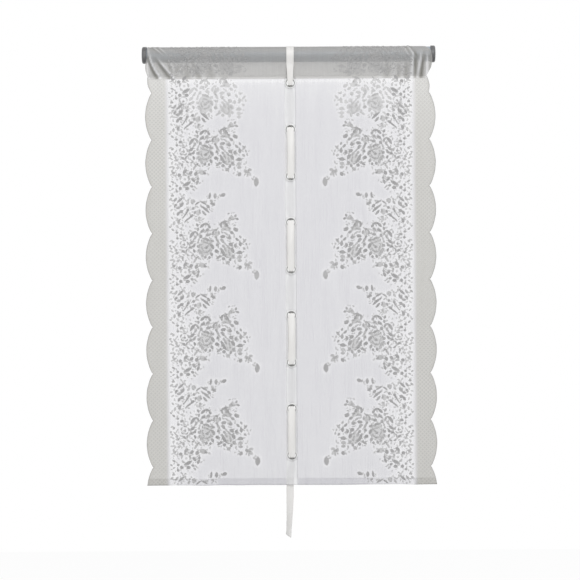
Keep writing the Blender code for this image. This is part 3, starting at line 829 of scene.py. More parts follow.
# The full rose: a pale body with loose petals, dark along its upper side and below
MAIN_ROSE = strokes(
    (1.1, -3.0, 90, 41, 33, 0.0),
    (0.4, 5.0, -12, 15, 3.6, 0.35, 1.6),
    (4.2, 0.2, 35, 11, 3.4, 0.4, -1.4),
    (1.0, -4.6, 0, 8, 5, 0.75),
    (-6.5, -4.5, -70, 12, 3.6, 0.4, -1.6),
    (0.5, -12.4, 8, 15, 3.8, 0.45, -2.0),
    (7.4, -9.5, 62, 11, 3.4, 0.45, -1.4),
    (-11.2, -12.6, -52, 13, 6.4, 0.5, -1.0),
    (-7.8, -20.2, -30, 9, 6, 0.6),
    (-10.4, 19.6, 58, 9, 6, 0.95),
    (1.1, 13.2, -22, 17, 4.6, 0.75, 1.0),
    (4.6, 23.0, 4, 9.5, 6.2, 0.95),
    (-14.6, 12.6, 75, 9, 3.8, 0.5),
    (14.6, 9.8, -32, 8, 5.4, 0.85),
    (13.8, -2.4, -58, 14, 6.2, 0.9, 1.0),
    (23.6, -12.4, -18, 9.5, 6.4, 1.0),
    (12.8, -18.8, -66, 10, 5.6, 0.95),
    (8.2, -25.8, 84, 7, 5, 1.0),
    (-0.9, -25.0, 60, 8, 5.6, 0.95),
    (-16.2, -1.6, 24, 7, 6, 0.8),
    (-16.4, 6.8, 80, 6.5, 4.6, 0.7),
    (-24.4, -11.2, -62, 8.5, 4.6, 0.9),
)

# The half-open rose beside it: an egg-shaped body between two dark outer petals
SIDE_ROSE = strokes(
    (48.1, -15.0, -60, 30, 20, 0.0),
    (37.9, -14.6, -62, 25, 5.6, 1.0, -1.2),
    (38.2, -1.6, -58, 8, 5.2, 0.85),
    (42.2, -8.6, -62, 11, 3.8, 0.6),
    (48.4, -3.4, -52, 12, 4.0, 0.55, 0.8),
    (57.4, -11.0, -58, 14, 6.2, 1.0, 1.0),
    (50.6, -16.5, -66, 13, 3.4, 0.35, 1.0),
    (46.4, -24.4, -30, 9, 3.8, 0.45, -1.0),
    (59.2, -23.2, 80, 7.5, 6.2, 0.9),
    (31.6, -22.8, -48, 8, 4.6, 0.8),
    (38.4, -28.6, 18, 8.5, 6.6, 1.0),
)

# The rosebuds between and above the two roses, in their cups of leaves
BUDS = strokes(
    (23.7, 24.6, 90, 13, 8, 0.35),
    (17.4, 27.2, 75, 12, 4.5, 0.9, 1.2),
    (21.9, 33.5, 5, 8, 4.5, 0.9),
    (28.1, 27.2, 100, 10, 4, 0.75, -1.0),
    (22.0, 17.6, -40, 8, 4.5, 0.9),
    (46.0, 37.0, -28, 19, 12, 0.3),
    (43.4, 44.6, -32, 13, 7.5, 0.6),
    (35.3, 44.3, 80, 14, 5, 0.9, 2.0),
    (40.7, 50.5, 20, 12, 5.5, 0.9),
    (45.8, 44.3, -55, 11, 4.5, 0.9),
    (38.5, 34.4, 10, 13, 4.5, 0.6),
    (52.3, 56.0, 60, 11, 6.5, 0.55),
    (56.0, 59.8, 15, 11, 7.5, 0.35),
    (64.5, 63.5, 65, 8, 4.5, 0.85),
    (67.9, 56.8, -20, 8.5, 4.5, 0.85),
    (61.0, 56.5, 30, 8, 3.5, 0.6),
    (-15.8, 71.0, 90, 14, 11, 0.35),
    (-22.9, 71.5, 70, 8, 4.5, 0.9),
    (-11.0, 72.5, 110, 9, 3.5, 0.7, 1.0),
    (-14.5, 57.0, 65, 13, 4.5, 0.5),
    (-17.8, 44.3, -60, 9, 4.5, 1.0),
    (-16.3, 35.0, 80, 9, 4.5, 0.8),
)

# Leaves to the right of the roses, and the trail that droops towards the centre
RIGHT_LEAVES = strokes(
    (64.9, 33.5, -30, 12.5, 6.5, 1.0),
    (56.6, 27.5, -35, 10, 5.5, 1.0),
    (51.4, 16.5, -25, 10, 7, 1.0),
    (43.6, 24.8, -38, 14, 3.6, 0.6, 1.0),
    (37.1, 19.2, 12, 12.5, 6, 1.0),
    (36.2, 10.2, -62, 12, 5.6, 0.85),
    (42.0, 3.5, -52, 13, 3.5, 0.6),
    (25.4, 1.3, 40, 8, 5.5, 1.0),
    (25.2, 11.4, -60, 15, 4.6, 0.8),
    (22.8, -11.8, 20, 8.5, 6.5, 1.0),
    (54.1, 2.2, -28, 11, 7, 1.0),
    (64.0, -0.5, 88, 9.5, 6, 1.0),
    (67.6, 12.9, -50, 10, 4.8, 0.95),
    (74.7, 18.3, -62, 8, 4.2, 0.8),
    (74.7, 3.0, 92, 11.5, 6, 1.0),
    (83.7, 9.3, 50, 12.5, 4.6, 0.7),
    (87.8, 2.5, -70, 7, 3.8, 0.55),
    (82.8, -6.8, -45, 8, 4.8, 0.75),
    (80.0, 3.0, -35, 8, 2.4, 0.5),
    (73.0, -16.7, 2, 13.5, 7, 1.0, 1.5),
    (73.0, -25.0, 88, 9, 9, 0.5),
    (73.2, -32.6, 0, 10.5, 6, 0.75),
    (73.8, -47.5, 62, 10.5, 6.6, 1.0),
    (27.2, -26.0, 35, 12, 4.6, 0.95),
    (47.4, -37.0, 35, 11, 6.5, 0.65),
    (53.0, -30.0, 70, 9, 5, 1.0),
    (86.4, -40.9, 110, 10.5, 6.4, 0.6),
    (95.0, -37.8, 25, 9.5, 5.4, 0.6),
    (94.6, -46.4, -42, 12, 6.2, 0.45),
    (90.0, -42.0, -20, 9, 5, 0.45),
    (109.7, -64.5, 84, 20, 9.4, 0.8),
)

# Veined leaves above and to the left of the main rose, each drawn as a pair of bowed strokes
LEFT_LEAVES = strokes(
    (-6.8, 42.0, 42, 12, 5.6, 1.0, 1.0),
    (1.0, 45.2, -6, 14, 5.4, 1.0, 1.2),
    (8.0, 40.7, -55, 9, 5.2, 1.0),
    (-6.6, 31.4, 28, 12, 5.6, 1.0),
    (3.2, 33.8, 44, 10, 4.8, 0.85),
    (-28.0, 23.5, 52, 21, 6.0, 1.0, 1.4),
    (-18.8, 27.0, -52, 11, 4.6, 0.8),
    (-23.4, 17.0, 54, 14, 4.2, 0.7, -1.0),
    (-29.6, 7.2, 38, 13, 5.6, 1.0),
    (-32.6, -2.8, 25, 11, 4.0, 0.8),
    (-25.6, -0.8, 42, 9, 5.0, 1.0),
    *ring_of(-46.5, 3.0, 7.4, 5, 3.3, 0.72),
    (-46.0, 2.0, 60, 5.5, 4.6, 0.9),
    *ring_of(-33.2, -13.4, 7.8, 5, 3.6, 0.85),
    (-32.4, -14.0, 0, 4, 3.6, 0.4),
    (-47.6, -12.2, -35, 10.5, 4.8, 1.0),
    (-49.8, -25.6, 62, 7.5, 5, 0.8),
    *ring_of(-63.5, -25.0, 7.4, 5, 4.0, 0.45),
    (-63.5, -25.0, 0, 5, 4.6, 0.35),
    (-17.8, -24.7, 30, 8, 4, 0.75),
    (-22.9, -31.5, 60, 15, 4.4, 0.6),
)

# The arching sprig over the spray, with slender leaves
TOP_SPRIG = strokes(
    (-17.2, 90.6, 36, 14.5, 3.4, 1.0, 0.8),
    (-4.6, 91.2, -28, 16, 4.0, 1.0, 1.0),
    (5.6, 84.2, -44, 10.5, 5.2, 1.0),
    (-0.4, 77.6, -40, 24.5, 4.8, 1.0, 0.8),
    (-3.0, 69.8, -52, 14, 4.6, 1.0),
    (9.6, 107.0, 84, 15, 4.4, 0.9),
    (21.0, 106.6, 90, 13, 6.2, 0.9),
    (38.4, 108.6, 24, 11.5, 6.8, 1.0),
    (32.2, 107.4, -60, 7.5, 3.6, 0.6),
    (12.9, 95.6, -40, 8.5, 5.4, 0.65),
    (15.8, 89.2, -30, 12.5, 5.4, 1.0),
    (-27.6, 95.0, 72, 12, 7.6, 0.5),
    (-38.4, 91.0, 52, 10, 4.6, 0.6),
    (-26.5, 80.0, 30, 7.5, 5.6, 1.0),
    (-43.6, 67.0, 56, 24, 3.0, 0.8),
    (-38.0, 76.6, 60, 9, 5.4, 1.0),
    (-37.4, 57.6, 37, 22, 3.4, 1.0),
    (-30.3, 63.8, 42, 9.5, 5.6, 1.0),
)

# The open flower below the main rose, with the buds and leaves round it
LOWER_FLOWERS = strokes(
    *ring_of(-44.6, -57.4, 8.4, 5, 4.2, 0.55),
    (-44.0, -57.0, 0, 6, 5, 0.3),
    (-40.6, -66.4, 26, 20, 6.2, 1.0, -1.6),
    (-44.0, -40.2, 46, 12.5, 6, 1.0),
    (-38.0, -45.0, -30, 10, 4, 0.5),
    (-31.6, -43.6, 56, 10, 6.2, 1.0),
    (-20.2, -45.4, 66, 10.5, 7, 1.0),
    (-7.6, -42.4, -26, 16, 9.6, 0.5),
    (-1.2, -44.6, -20, 8, 4.6, 0.95),
    (-56.0, -48.0, 10, 8.5, 6.4, 1.0),
    (-26.3, -59.0, -45, 11.5, 5, 0.9),
    (-17.4, -64.0, 68, 12, 5.4, 1.0),
    (-15.6, -56.0, 0, 6.5, 5, 0.9),
    (-39.0, -76.8, 4, 9.5, 6.6, 1.0),
    (-29.4, -72.4, -22, 8.5, 5, 0.9),
    (-25.4, -79.6, -42, 8.5, 3.8, 0.6),
    (-54.2, -76.8, 84, 8.5, 5.6, 1.0),
    (-61.4, -71.4, 20, 6.5, 5, 0.9),
    (-61.6, -83.2, -20, 7, 5, 0.9),
    (-68.6, -43.5, 15, 7.5, 5.6, 0.8),
    (-70.2, -63.0, -32, 9.5, 4, 0.8),
    (-70.6, -92.0, -25, 7, 4.4, 0.8),
)

# Leaf sprays and dots that run up beside the border
BORDER_LEAVES = strokes(
    (-54.6, 98.4, 42, 18.5, 4.8, 1.0),
    (-64.6, 99.0, 56, 11.5, 4.6, 0.8),
    (-51.4, 87.8, 50, 13.5, 6, 1.0),
    (-65.0, 86.6, 60, 9, 4.6, 0.9),
    (-59.6, 81.0, -8, 9.5, 4.2, 0.9),
    (-52.2, 73.2, 30, 9, 6.8, 1.0),
    (-58.6, 69.0, 62, 11, 5.4, 1.0),
    (-57.8, 52.2, 60, 10, 5.6, 0.9),
    *ring_of(-54.6, 42.4, 5.0, 4, 4.0, 0.45),
    (-67.8, 48.4, 80, 10, 4.8, 0.6),
    (-61.5, 28.2, 10, 6.6, 4.6, 1.0),
    (-53.4, 22.8, 40, 8, 5.4, 1.0),
    (-60.6, 15.8, -10, 6.6, 5, 0.9),
    (-70.4, 34.2, -40, 8.5, 3.8, 0.8),
    (-76.6, 40.2, -40, 6, 3.2, 0.7),
    (-70.2, 7.6, 40, 7.5, 4.4, 0.7),
    (-76.8, -0.6, 20, 6, 4, 0.7),
    (-66.2, -6.0, -48, 12, 3.2, 0.5),
    (-62.0, -14.2, -50, 11, 3.2, 0.5),
    (-72.2, -13.6, -30, 8, 3.6, 0.5),
    (-74.4, -31.0, 5, 8.5, 3.6, 0.5),
    (-75.0, 100.0, 38, 9, 4, 0.7),
    (-72.0, 60.0, -45, 8, 3.4, 0.5),
    (-76.0, -72.0, -35, 7, 3.6, 0.7),
)

SPRAY_HEAD = MAIN_ROSE + SIDE_ROSE + BUDS + RIGHT_LEAVES + LEFT_LEAVES
SPRAY = SPRAY_HEAD + TOP_SPRIG + LOWER_FLOWERS + BORDER_LEAVES


@dataclass(frozen=True)
class RoseSpray:
    """One repeat of the lace: a spray of roses, buds and leaves beside the curtain's centre.

    centre, first_drop and pitch place the repeats, and the top values shape the pale spray under the
    header. spread widens the strokes narrower than body_width. Small leaves fill the spray: tries is how
    many places are tried, apart how far they keep from each other, and sparse how crowded a place has to be
    away from the border, past border_side. crowd is how far round a stroke makes its place crowded.
    """

    centre: float = 0.1835
    first_drop: float = 0.0095
    pitch: float = 0.2
    repeats: int = 6
    top_drop: float = 0.101
    top_tone: float = 0.3
    top_foot: float = -0.034
    top_reach: tuple[float, float] = (0.036, 0.028)
    seam: float = -0.0475
    crowd: float = 0.009
    window: float = 0.035
    spread: float = 1.2
    body_width: float = 0.0105
    fillings: int = 330
    top_fillings: int = 60
    tries: int = 2000
    apart: float = 0.0035
    sparse: float = 0.26
    border_side: tuple[float, float] = (-0.045, -0.020)
    fill_gain: float = 2.2
    fill_chance: float = 1.7
    shade_gain: float = 1.9
    least_area: float = 1.5e-5
    leaf_lengths: tuple[float, float] = (0.0042, 0.0085)
    leaf_width: float = 0.52
    leaf_tones: tuple[float, float] = (0.2, 0.6)
    leaf_bend: float = 0.12

    def rows_of(self, drawn: tuple[Stroke, ...]) -> np.ndarray:
        """Strokes as rows of numbers, in metres, degrees and tones."""
        table = np.array([astuple(stroke) for stroke in drawn])
        table[:, [0, 1, 3, 4, 6]] *= MM
        table[:, 4] *= np.where(table[:, 4] < self.body_width, self.spread, 1.0)
        return table

    def share_of(self, row: np.ndarray, places: np.ndarray) -> np.ndarray:
        """How much of the cloth round each place the stroke in row covers, spread softly."""
        apart = ((places - row[:2]) ** 2).sum(axis=1)
        return row[3] * row[4] * np.exp(-apart / (2 * self.crowd**2)) / (2 * math.pi * self.crowd**2)

    def filled(self, table: np.ndarray, seed: int, count: int) -> np.ndarray:
        """Small pale strokes between those of table.

        Args:
            table: The strokes, as rows_of gives them.
            seed: Which scatter.
            count: How many at most.

        Returns:
            Table and the new strokes.
        """
        rng = np.random.default_rng(seed)
        lows, highs = table[:, :2].min(axis=0), table[:, :2].max(axis=0)
        tries = rng.uniform(lows, highs, (self.tries, 2))
        thick = self.fill_gain * sum(self.share_of(row, tries) for row in table)
        chances = self.fill_chance * (thick - self.sparse * ease(tries[:, 0], *self.border_side))
        kept = [table]
        places = table[:, :2]
        for place, chance, luck in zip(tries, chances, rng.random(len(tries))):
            near = np.hypot(*(places - place).T).min()
            if luck < chance and near > self.apart:
                size = rng.uniform(*self.leaf_lengths)
                turn, tone = rng.uniform(0, 180), rng.uniform(*self.leaf_tones)
                row = (*place, turn, size, self.leaf_width * size, tone, self.leaf_bend * size)
                kept.append(np.array([row]))
                places = np.concatenate([places, [place]])
            if len(kept) > count:
                break
        return np.concatenate(kept)

    def half(self) -> np.ndarray:
        """Every stroke of the left half, with flat places from the centre line and the pole's axis."""
        repeat = self.filled(self.rows_of(SPRAY), 11, self.fillings)
        top = self.rows_of(SPRAY_HEAD)
        top = self.filled(top[top[:, 1] > self.top_foot], 12, self.top_fillings)
        top[:, 5] *= self.top_tone
        top[:, 0] -= self.centre
        top[:, 1] -= self.top_drop
        tables = []
        for number in range(self.repeats):
            table = repeat.copy()
            table[:, 0] -= self.centre
            table[:, 1] -= self.first_drop + number * self.pitch
            covered = (table[:, 1] > -self.top_drop - self.top_reach[1]) & (table[:, 1] < self.seam)
            covered &= table[:, 0] > -self.centre - self.top_reach[0]
            tables.append(table[~covered])
        return np.concatenate([*tables, top])

    def placed(self, side: Side, low: float, high: float) -> np.ndarray:
        """The strokes of one half.

        Args:
            side: Which half.
            low: No stroke's foot is below this flat height.
            high: No stroke's head is above this one.

        Returns:
            Rows of middle across, middle up, degrees, length, width, tone and bend.
        """
        table = self.half()
        if side is Side.RIGHT:
            table[:, 0] *= -1
            table[:, 2] = 180 - table[:, 2]
            table[:, 6] *= -1
        reach = 0.3 * table[:, 3]
        kept = (table[:, 1] - reach > low) & (table[:, 1] + reach < high)
        return table[kept]

    def openness(self, across: np.ndarray, up: np.ndarray) -> np.ndarray:
        """How open the net is left round the figures.

        Args:
            across: Flat places across.
            up: Flat heights.

        Returns:
            Up to 1 among the figures and 0 well away from all of them.
        """
        table = self.half()
        table = table[table[:, 3] * table[:, 4] > self.least_area]
        places = np.stack([-np.abs(across).ravel(), up.ravel()], axis=1)
        nearest = np.full(len(places), 1.0)
        thick = np.zeros(len(places))
        for row in table:
            close = np.flatnonzero(np.abs(places - row[:2]).max(axis=1) < self.window)
            off = places[close] - row[:2]
            turn = math.radians(row[2])
            along = off[:, 0] * math.cos(turn) + off[:, 1] * math.sin(turn)
            aside = off[:, 1] * math.cos(turn) - off[:, 0] * math.sin(turn)
            reach = np.maximum(np.abs(along) - row[3] / 2, 0.0)
            width = np.maximum(np.abs(aside) - row[4] / 2, 0.0)
            nearest[close] = np.minimum(nearest[close], np.hypot(reach, width))
            thick[close] += self.shade_gain * self.share_of(row, places[close])
        beside = ease(-places[:, 0], self.centre - 0.03, self.centre + 0.05)
        halo = 1 - ease(nearest, 0.0008, 0.0042)
        shade = np.clip(thick, 0.0, 1.0)
        total = 0.20 * halo + 0.34 * shade * (0.35 + 0.65 * beside)
        return np.clip(total, 0.0, 1.0).reshape(np.shape(across))


def lens(cloth: Cloth, table: np.ndarray, crown: float, base: float, steps: int = 7) -> np.ndarray:
    """Strokes as low mounds of thread on the cloth, with the wide bodies of blooms under the rest.

    Args:
        cloth: What they lie on.
        table: Rows of middle across, middle up, degrees, length, width, tone and bend.
        crown: How high the middle of each stands.
        base: How far the edges stand off the cloth.
        steps: Points along each.

    Returns:
        Points as (strokes, steps, 5, 3).
    """
    along = np.linspace(-1, 1, steps)[None, :, None]
    aside = np.linspace(-1, 1, 5)[None, None, :]
    across, up, turn, length, width, _, bend = (table[:, k][:, None, None] for k in range(7))
    taper = np.sqrt(np.clip(1 - along**2, 0.0, 1.0)) * (1 - 0.25 * np.abs(along))
    start = along * length / 2
    shift = bend * (1 - along**2) + aside * taper * width / 2
    angle = np.radians(turn)
    x = across + start * np.cos(angle) - shift * np.sin(angle)
    z = up + start * np.sin(angle) + shift * np.cos(angle)
    wide = width > 0.012
    order = (np.arange(len(table)) % 5)[:, None, None]
    layer = base * np.where(wide, 1.0, 2.5 + 0.5 * order)
    lift = layer + crown * np.clip(0.004 / width, 0.05, 1.0) * (1 - aside**2) * taper
    return cloth.place(x, z, lift)


def holed(
    across: np.ndarray, up: np.ndarray, drops: list[float], radius: float
) -> tuple[Weave, np.ndarray]:
    """A sheet with round holes, before its points are hung.

    Args:
        across: Flat places across, as (rows, columns).
        up: Flat heights, as (rows, columns).
        drops: How far below the pole's axis each hole lies, on the centre line.
        radius: The holes' radius.

    Returns:
        A weave with its faces and flat places, and those places as (points, 2).
    """
    weave = Weave()
    faces = weave.add_grids(np.zeros((*across.shape, 3)))
    flat = np.stack([across.ravel(), up.ravel()], axis=1)
    kept = np.ones(len(faces), bool)
    middles = flat[faces].mean(axis=1)
    centres = [np.array([0.0, -drop]) for drop in drops]
    for centre in centres:
        kept &= np.hypot(*(middles - centre).T) > radius - 0.0008
    left = faces[kept]
    rim = np.intersect1d(np.unique(left), np.unique(faces[~kept]))
    for centre in centres:
        off = flat[rim] - centre
        far = np.hypot(*off.T)
        near = far < 1.6 * radius
        flat[rim[near]] = centre + off[near] / far[near][:, None] * radius
    weave.faces = [left]
    weave.values = {"across": [flat[:, 0]], "up": [flat[:, 1]]}
    return weave, flat


# The pieces


@dataclass
class LacePanel:
    """The lace itself: one sheet with its rod pocket, scalloped sides and turned-up hem."""

    cloth: Cloth
    spray: RoseSpray
    eyelet_drops: list[float]
    hole_radius: float = 0.0096
    step: float = 0.0033
    straight_half: float = 0.268
    edge_columns: int = 11
    pocket_rows: int = 52
    border_start: float = 0.263
    strip_half: float = 0.0118
    seam_allowance: float = 0.0042

    def rows(self) -> np.ndarray:
        """Flat heights from the back seam over the pole and down to the turned-up hem's edge."""
        cloth = self.cloth
        per_scallop = round(cloth.scallop_pitch / self.step)
        step = cloth.scallop_pitch / per_scallop
        low = -cloth.drop
        first = -cloth.first_notch
        pocket = np.linspace(cloth.back_seam(), cloth.seam, self.pocket_rows)
        turned_in = np.linspace(cloth.seam, cloth.seam - 1.4 * self.seam_allowance, 6)[1:]
        corner = np.linspace(turned_in[-1], first, 10)[1:]
        panel = first - step * np.arange(1, int((first - low) / step) + 1)
        hem = np.linspace(low, low - cloth.hem, 6)
        return np.concatenate([pocket, turned_in, corner, panel, hem])

    def columns(self, up: np.ndarray) -> np.ndarray:
        """Flat places across for each row, as (rows, columns)."""
        straight = np.arange(-self.straight_half, self.straight_half + self.step / 2, self.step)
        hanging = np.where(up < -self.cloth.drop, -2 * self.cloth.drop - up, up)
        share = np.linspace(0, 1, self.edge_columns + 1)[1:]
        left = self.cloth.edge(Side.LEFT, hanging)[:, None]
        right = self.cloth.edge(Side.RIGHT, hanging)[:, None]
        outer_left = straight[0] + (left - straight[0]) * share[::-1]
        outer_right = straight[-1] + (right - straight[-1]) * share
        inner = np.broadcast_to(straight, (len(up), len(straight)))
        return np.concatenate([outer_left, inner, outer_right], axis=1)

    def band(self, across: np.ndarray) -> np.ndarray:
        """1 on the centre band, which the facing tape backs, and 0 beside it."""
        return 1 - ease(np.abs(across), self.strip_half - 0.001, self.strip_half + 0.001)

    def cover(self, across: np.ndarray, up: np.ndarray) -> tuple[np.ndarray, np.ndarray]:
        """The share of the cloth that is thread, and how much of the border's lattice there is.

        Args:
            across: Flat places across.
            up: Flat heights.

        Returns:
            Two arrays from 0 to 1.
        """
        cloth = self.cloth
        away = np.abs(across)
        header = ease(up, cloth.seam - self.seam_allowance - 0.0008, cloth.seam - self.seam_allowance)
        border = ease(away, self.border_start - 0.002, self.border_start + 0.008)
        strip = ease(away, self.border_start - 0.018, self.border_start - 0.010) * (1 - border)
        open_net = self.spray.openness(across, up)
        below = np.minimum(up - cloth.seam, 0.0)
        cover = (0.50 - 0.18 * np.exp(below / 0.04)) * (1 - 0.72 * open_net)
        cover = cover * (1 - 0.25 * strip)
        under = (up - cloth.seam + 2 * self.seam_allowance) / self.seam_allowance
        cover = cover * (1 - 0.4 * np.exp(-(under**2)))
        cover = cover + (0.80 - 0.24 * np.exp(below / 0.09) - cover) * border
        left, right = (np.abs(cloth.edge(side, up) - across) for side in Side)
        cover = cover + 0.12 * (1 - ease(np.minimum(left, right), 0.0, 0.006))
        centre = self.band(across)
        cover = cover + (0.60 - cover) * centre
        folded = np.abs(cloth.crumple(across, np.maximum(up, cloth.seam)))
        doubled = ease(up, cloth.seam - 0.0004, cloth.seam + 0.0004)
        grazed = 0.24 * ease(cloth.rise(up), 0.001, 0.008)
        header_cover = 0.86 - 0.29 * doubled + (0.38 * folded + grazed) * doubled
        cover = cover + (header_cover - cover) * header
        cover = cover * (1 - 0.5 * ease(-up, cloth.drop, cloth.drop + 0.001))
        return np.clip(cover, 0.0, 1.0), border * (1 - header) + 0.8 * header

    def build(self) -> bpy.types.Object:
        rows = self.rows()
        across = self.columns(rows)
        up = np.broadcast_to(rows[:, None], across.shape)
        weave, flat = holed(across, up, self.eyelet_drops, self.hole_radius)
        across, up = flat.T
        weave.points = [self.cloth.place(across, up)]
        cover, border = self.cover(across, up)
        header = up > self.cloth.seam - self.seam_allowance
        # Above the seam, band carries the painted highlight and painted shade of the header's folds; below
        # it, the centre band.
        folded = self.cloth.crumple(across, np.maximum(up, self.cloth.seam))
        band = np.where(header, folded, self.band(across))
        weave.values |= {"cover": [cover], "border": [border], "band": [band]}
        made = weave.build("lace_cloth", SheerLace().make())
        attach(made, "root")
        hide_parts("lace_panel")
        return made

    def flat_size(self) -> tuple[float, float]:
        """The cut's width and length, with the pocket and the hem laid out flat."""
        length = self.cloth.back_seam() + self.cloth.drop + self.cloth.hem
        return self.cloth.width, length


@dataclass
class WovenFigures:
    """The rose sprays of both halves, as dense thread in the net."""

    cloth: Cloth
    spray: RoseSpray
    crown: float = 0.0005
    base: float = 0.00015

    def build(self) -> list[bpy.types.Object]:
        """Makes one object for each half."""
        finish = FigureThread().make()
        made = []
        rng = np.random.default_rng(7)
        for side in Side:
            table = self.spray.placed(side, -self.cloth.drop + 0.001, 0.03)
            table = table[(table[:, 1] < self.cloth.seam - 0.001) | (table[:, 1] > self.cloth.seam + 0.006)]
            points = lens(self.cloth, table, self.crown, self.base)
            # Tone sets each stroke's thread density and its painted shade; above the seam it is kept faint.
            faint = np.where(table[:, 1] > self.cloth.seam, 0.3, 1.0)
            tone = np.clip(table[:, 5] * faint + rng.uniform(-0.12, 0.12, len(table)), 0.0, 1.0)
            rim = np.abs(np.linspace(-1, 1, 5))[None, None, :] ** 2
            tone = np.clip(tone[:, None, None] - 0.1 * rim, 0.0, 1.0)
            piece = woven(f"rose_sprays_{side.name.lower()}", finish, points, tone=tone)
            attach(piece, "root")
            made.append(piece)
        return made


@dataclass
class Sewing:
    """Stitches along the seam, the hem and the tape, and the cords that edge the scallops."""

    cloth: Cloth
    tape_half: float
    pitch: float = 0.0032
    length: float = 0.0024
    thread: float = 0.0005
    cord_radius: float = 0.0006
    clear: float = 0.013

    def line(self, start: tuple[float, float], end: tuple[float, float]) -> np.ndarray:
        """A row of stitches from start to end, as lens takes them."""
        span = math.hypot(end[0] - start[0], end[1] - start[1])
        count = int(span / self.pitch)
        share = (np.arange(count) + 0.5) / count
        across = start[0] + (end[0] - start[0]) * share
        up = start[1] + (end[1] - start[1]) * share
        turn = math.degrees(math.atan2(end[1] - start[1], end[0] - start[0]))
        rest = np.broadcast_to([turn, self.length, self.thread, 0.5, 0.0], (count, 5))
        return np.column_stack([across, up, rest])

    def stitches(self, name: str, lines: list[np.ndarray], finish: bpy.types.Material) -> bpy.types.Object:
        """One object for some rows of stitches.

        Args:
            name: The piece's name.
            lines: The rows, as line gives them.
            finish: The thread's material.

        Returns:
            The piece.
        """
        grids = lens(self.cloth, np.concatenate(lines), 0.8 * self.thread, 0.00004, 5)
        piece = woven(name, finish, grids)
        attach(piece, "root")
        return piece

    def cord(self, side: Side, rows: np.ndarray, finish: bpy.types.Material) -> bpy.types.Object:
        """The cord along one scalloped side.

        Args:
            side: Which side.
            rows: The flat heights that it passes.
            finish: Its material.

        Returns:
            The piece.
        """
        rows = rows[(rows <= self.cloth.seam) & (rows >= -self.cloth.drop)]
        line = self.cloth.place(self.cloth.edge(side, rows), rows)
        ahead = np.gradient(line, axis=0)
        ahead /= np.linalg.norm(ahead, axis=1)[:, None]
        out = np.cross(ahead, np.array([0.0, 1.0, 0.0]))
        turn = np.linspace(0, 2 * math.pi, 7)[:-1]
        twist = np.arange(len(rows))[:, None] * 0.9
        swell = self.cord_radius * (1 + 0.12 * np.sin(twist))
        ring = np.cos(turn)[None, :, None] * out[:, None, :]
        ring = ring + np.sin(turn)[None, :, None] * np.array([0.0, 1.0, 0.0])
        grid = line[:, None, :] + swell[..., None] * ring
        piece = woven(f"scallop_cord_{side.name.lower()}", finish, grid, wrap=True)
        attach(piece, "root")
        return piece

    def build(self, rows: np.ndarray, drops: list[float]) -> list[bpy.types.Object]:
        """Makes the stitches and cords.

        Args:
            rows: The cloth's flat heights.
            drops: How far down each eyelet lies.

        Returns:
            The pieces.
        """
        cloth = self.cloth
        thread = SewingThread().make()
        cord = SewingThread("edge_cord", (0.50, 0.49, 0.47)).make()
        left, right = cloth.header_left + 0.002, cloth.header_right - 0.002
        heights = [cloth.seam + off for off in (0.0012, 0.0032)]
        seam = [self.line((left, height), (right, height)) for height in heights]
        half = cloth.width / 2 - cloth.scallop_depth
        hem_up = -cloth.drop + cloth.hem - 0.002
        hem = [self.line((-half, hem_up), (half, hem_up))]
        tape = []
        for side in Side:
            across = side.value * (self.tape_half - 0.0012)
            ends = [cloth.seam - 0.001] + [-drop for drop in drops] + [-cloth.drop + cloth.hem]
            for top, bottom in zip(ends, ends[1:]):
                tape.append(self.line((across, top), (across, bottom)))
        near = np.concatenate(tape)
        apart = np.min([np.hypot(near[:, 0], near[:, 1] + drop) for drop in drops], axis=0)
        tape = [near[apart > self.clear]]
        pieces = [
            self.stitches("seam_stitches", seam, thread),
            self.stitches("hem_stitches", hem, thread),
            self.stitches("tape_stitches", tape, thread),
        ]
        return pieces + [self.cord(side, rows, cord) for side in Side]


@dataclass
class CentreTape:
    """The facing strip behind the centre line, which the eyelets clamp."""

    cloth: Cloth
    width: float = 0.024
    front: float = 0.00035
    wave: float = 0.0002
    hole_radius: float = 0.0096
    rows: int = 340
    columns: int = 11

    def build(self, drops: list[float]) -> bpy.types.Object:
        top = self.cloth.seam - self.cloth.gap
        bottom = -self.cloth.drop + self.cloth.hem + 2 * self.cloth.gap
        columns = np.linspace(-self.width / 2, self.width / 2, self.columns)
        grids = np.meshgrid(columns, np.linspace(top, bottom, self.rows))
        weave, flat = holed(*grids, drops, self.hole_radius)
        across, up = flat.T
        depth = self.front + self.wave * (1 + np.sin(up * 170.0))
        edge = ease(np.abs(across), self.width / 2 - 0.003, self.width / 2 - 0.001)
        weave.points = [np.stack([across, depth, up], axis=1)]
        weave.values["border"] = [edge]
        made = weave.build("tape_strip", SheerTape().make())
        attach(made, "root")
        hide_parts("centre_tape")
        return made


def turned(profile: list[tuple[float, float]], sides: int) -> np.ndarray:
    """A closed outline turned round Z.

    Args:
        profile: Points of (radius, height).
        sides: Steps round.

    Returns:
        Points as (profile, sides, 3).
    """
    turn = np.linspace(0, 2 * math.pi, sides, endpoint=False)
    radius, height = np.array(profile).T[:, :, None]
    x = radius * np.cos(turn)
    y = radius * np.sin(turn)
    return np.stack([x, y, np.broadcast_to(height, x.shape)], axis=-1)


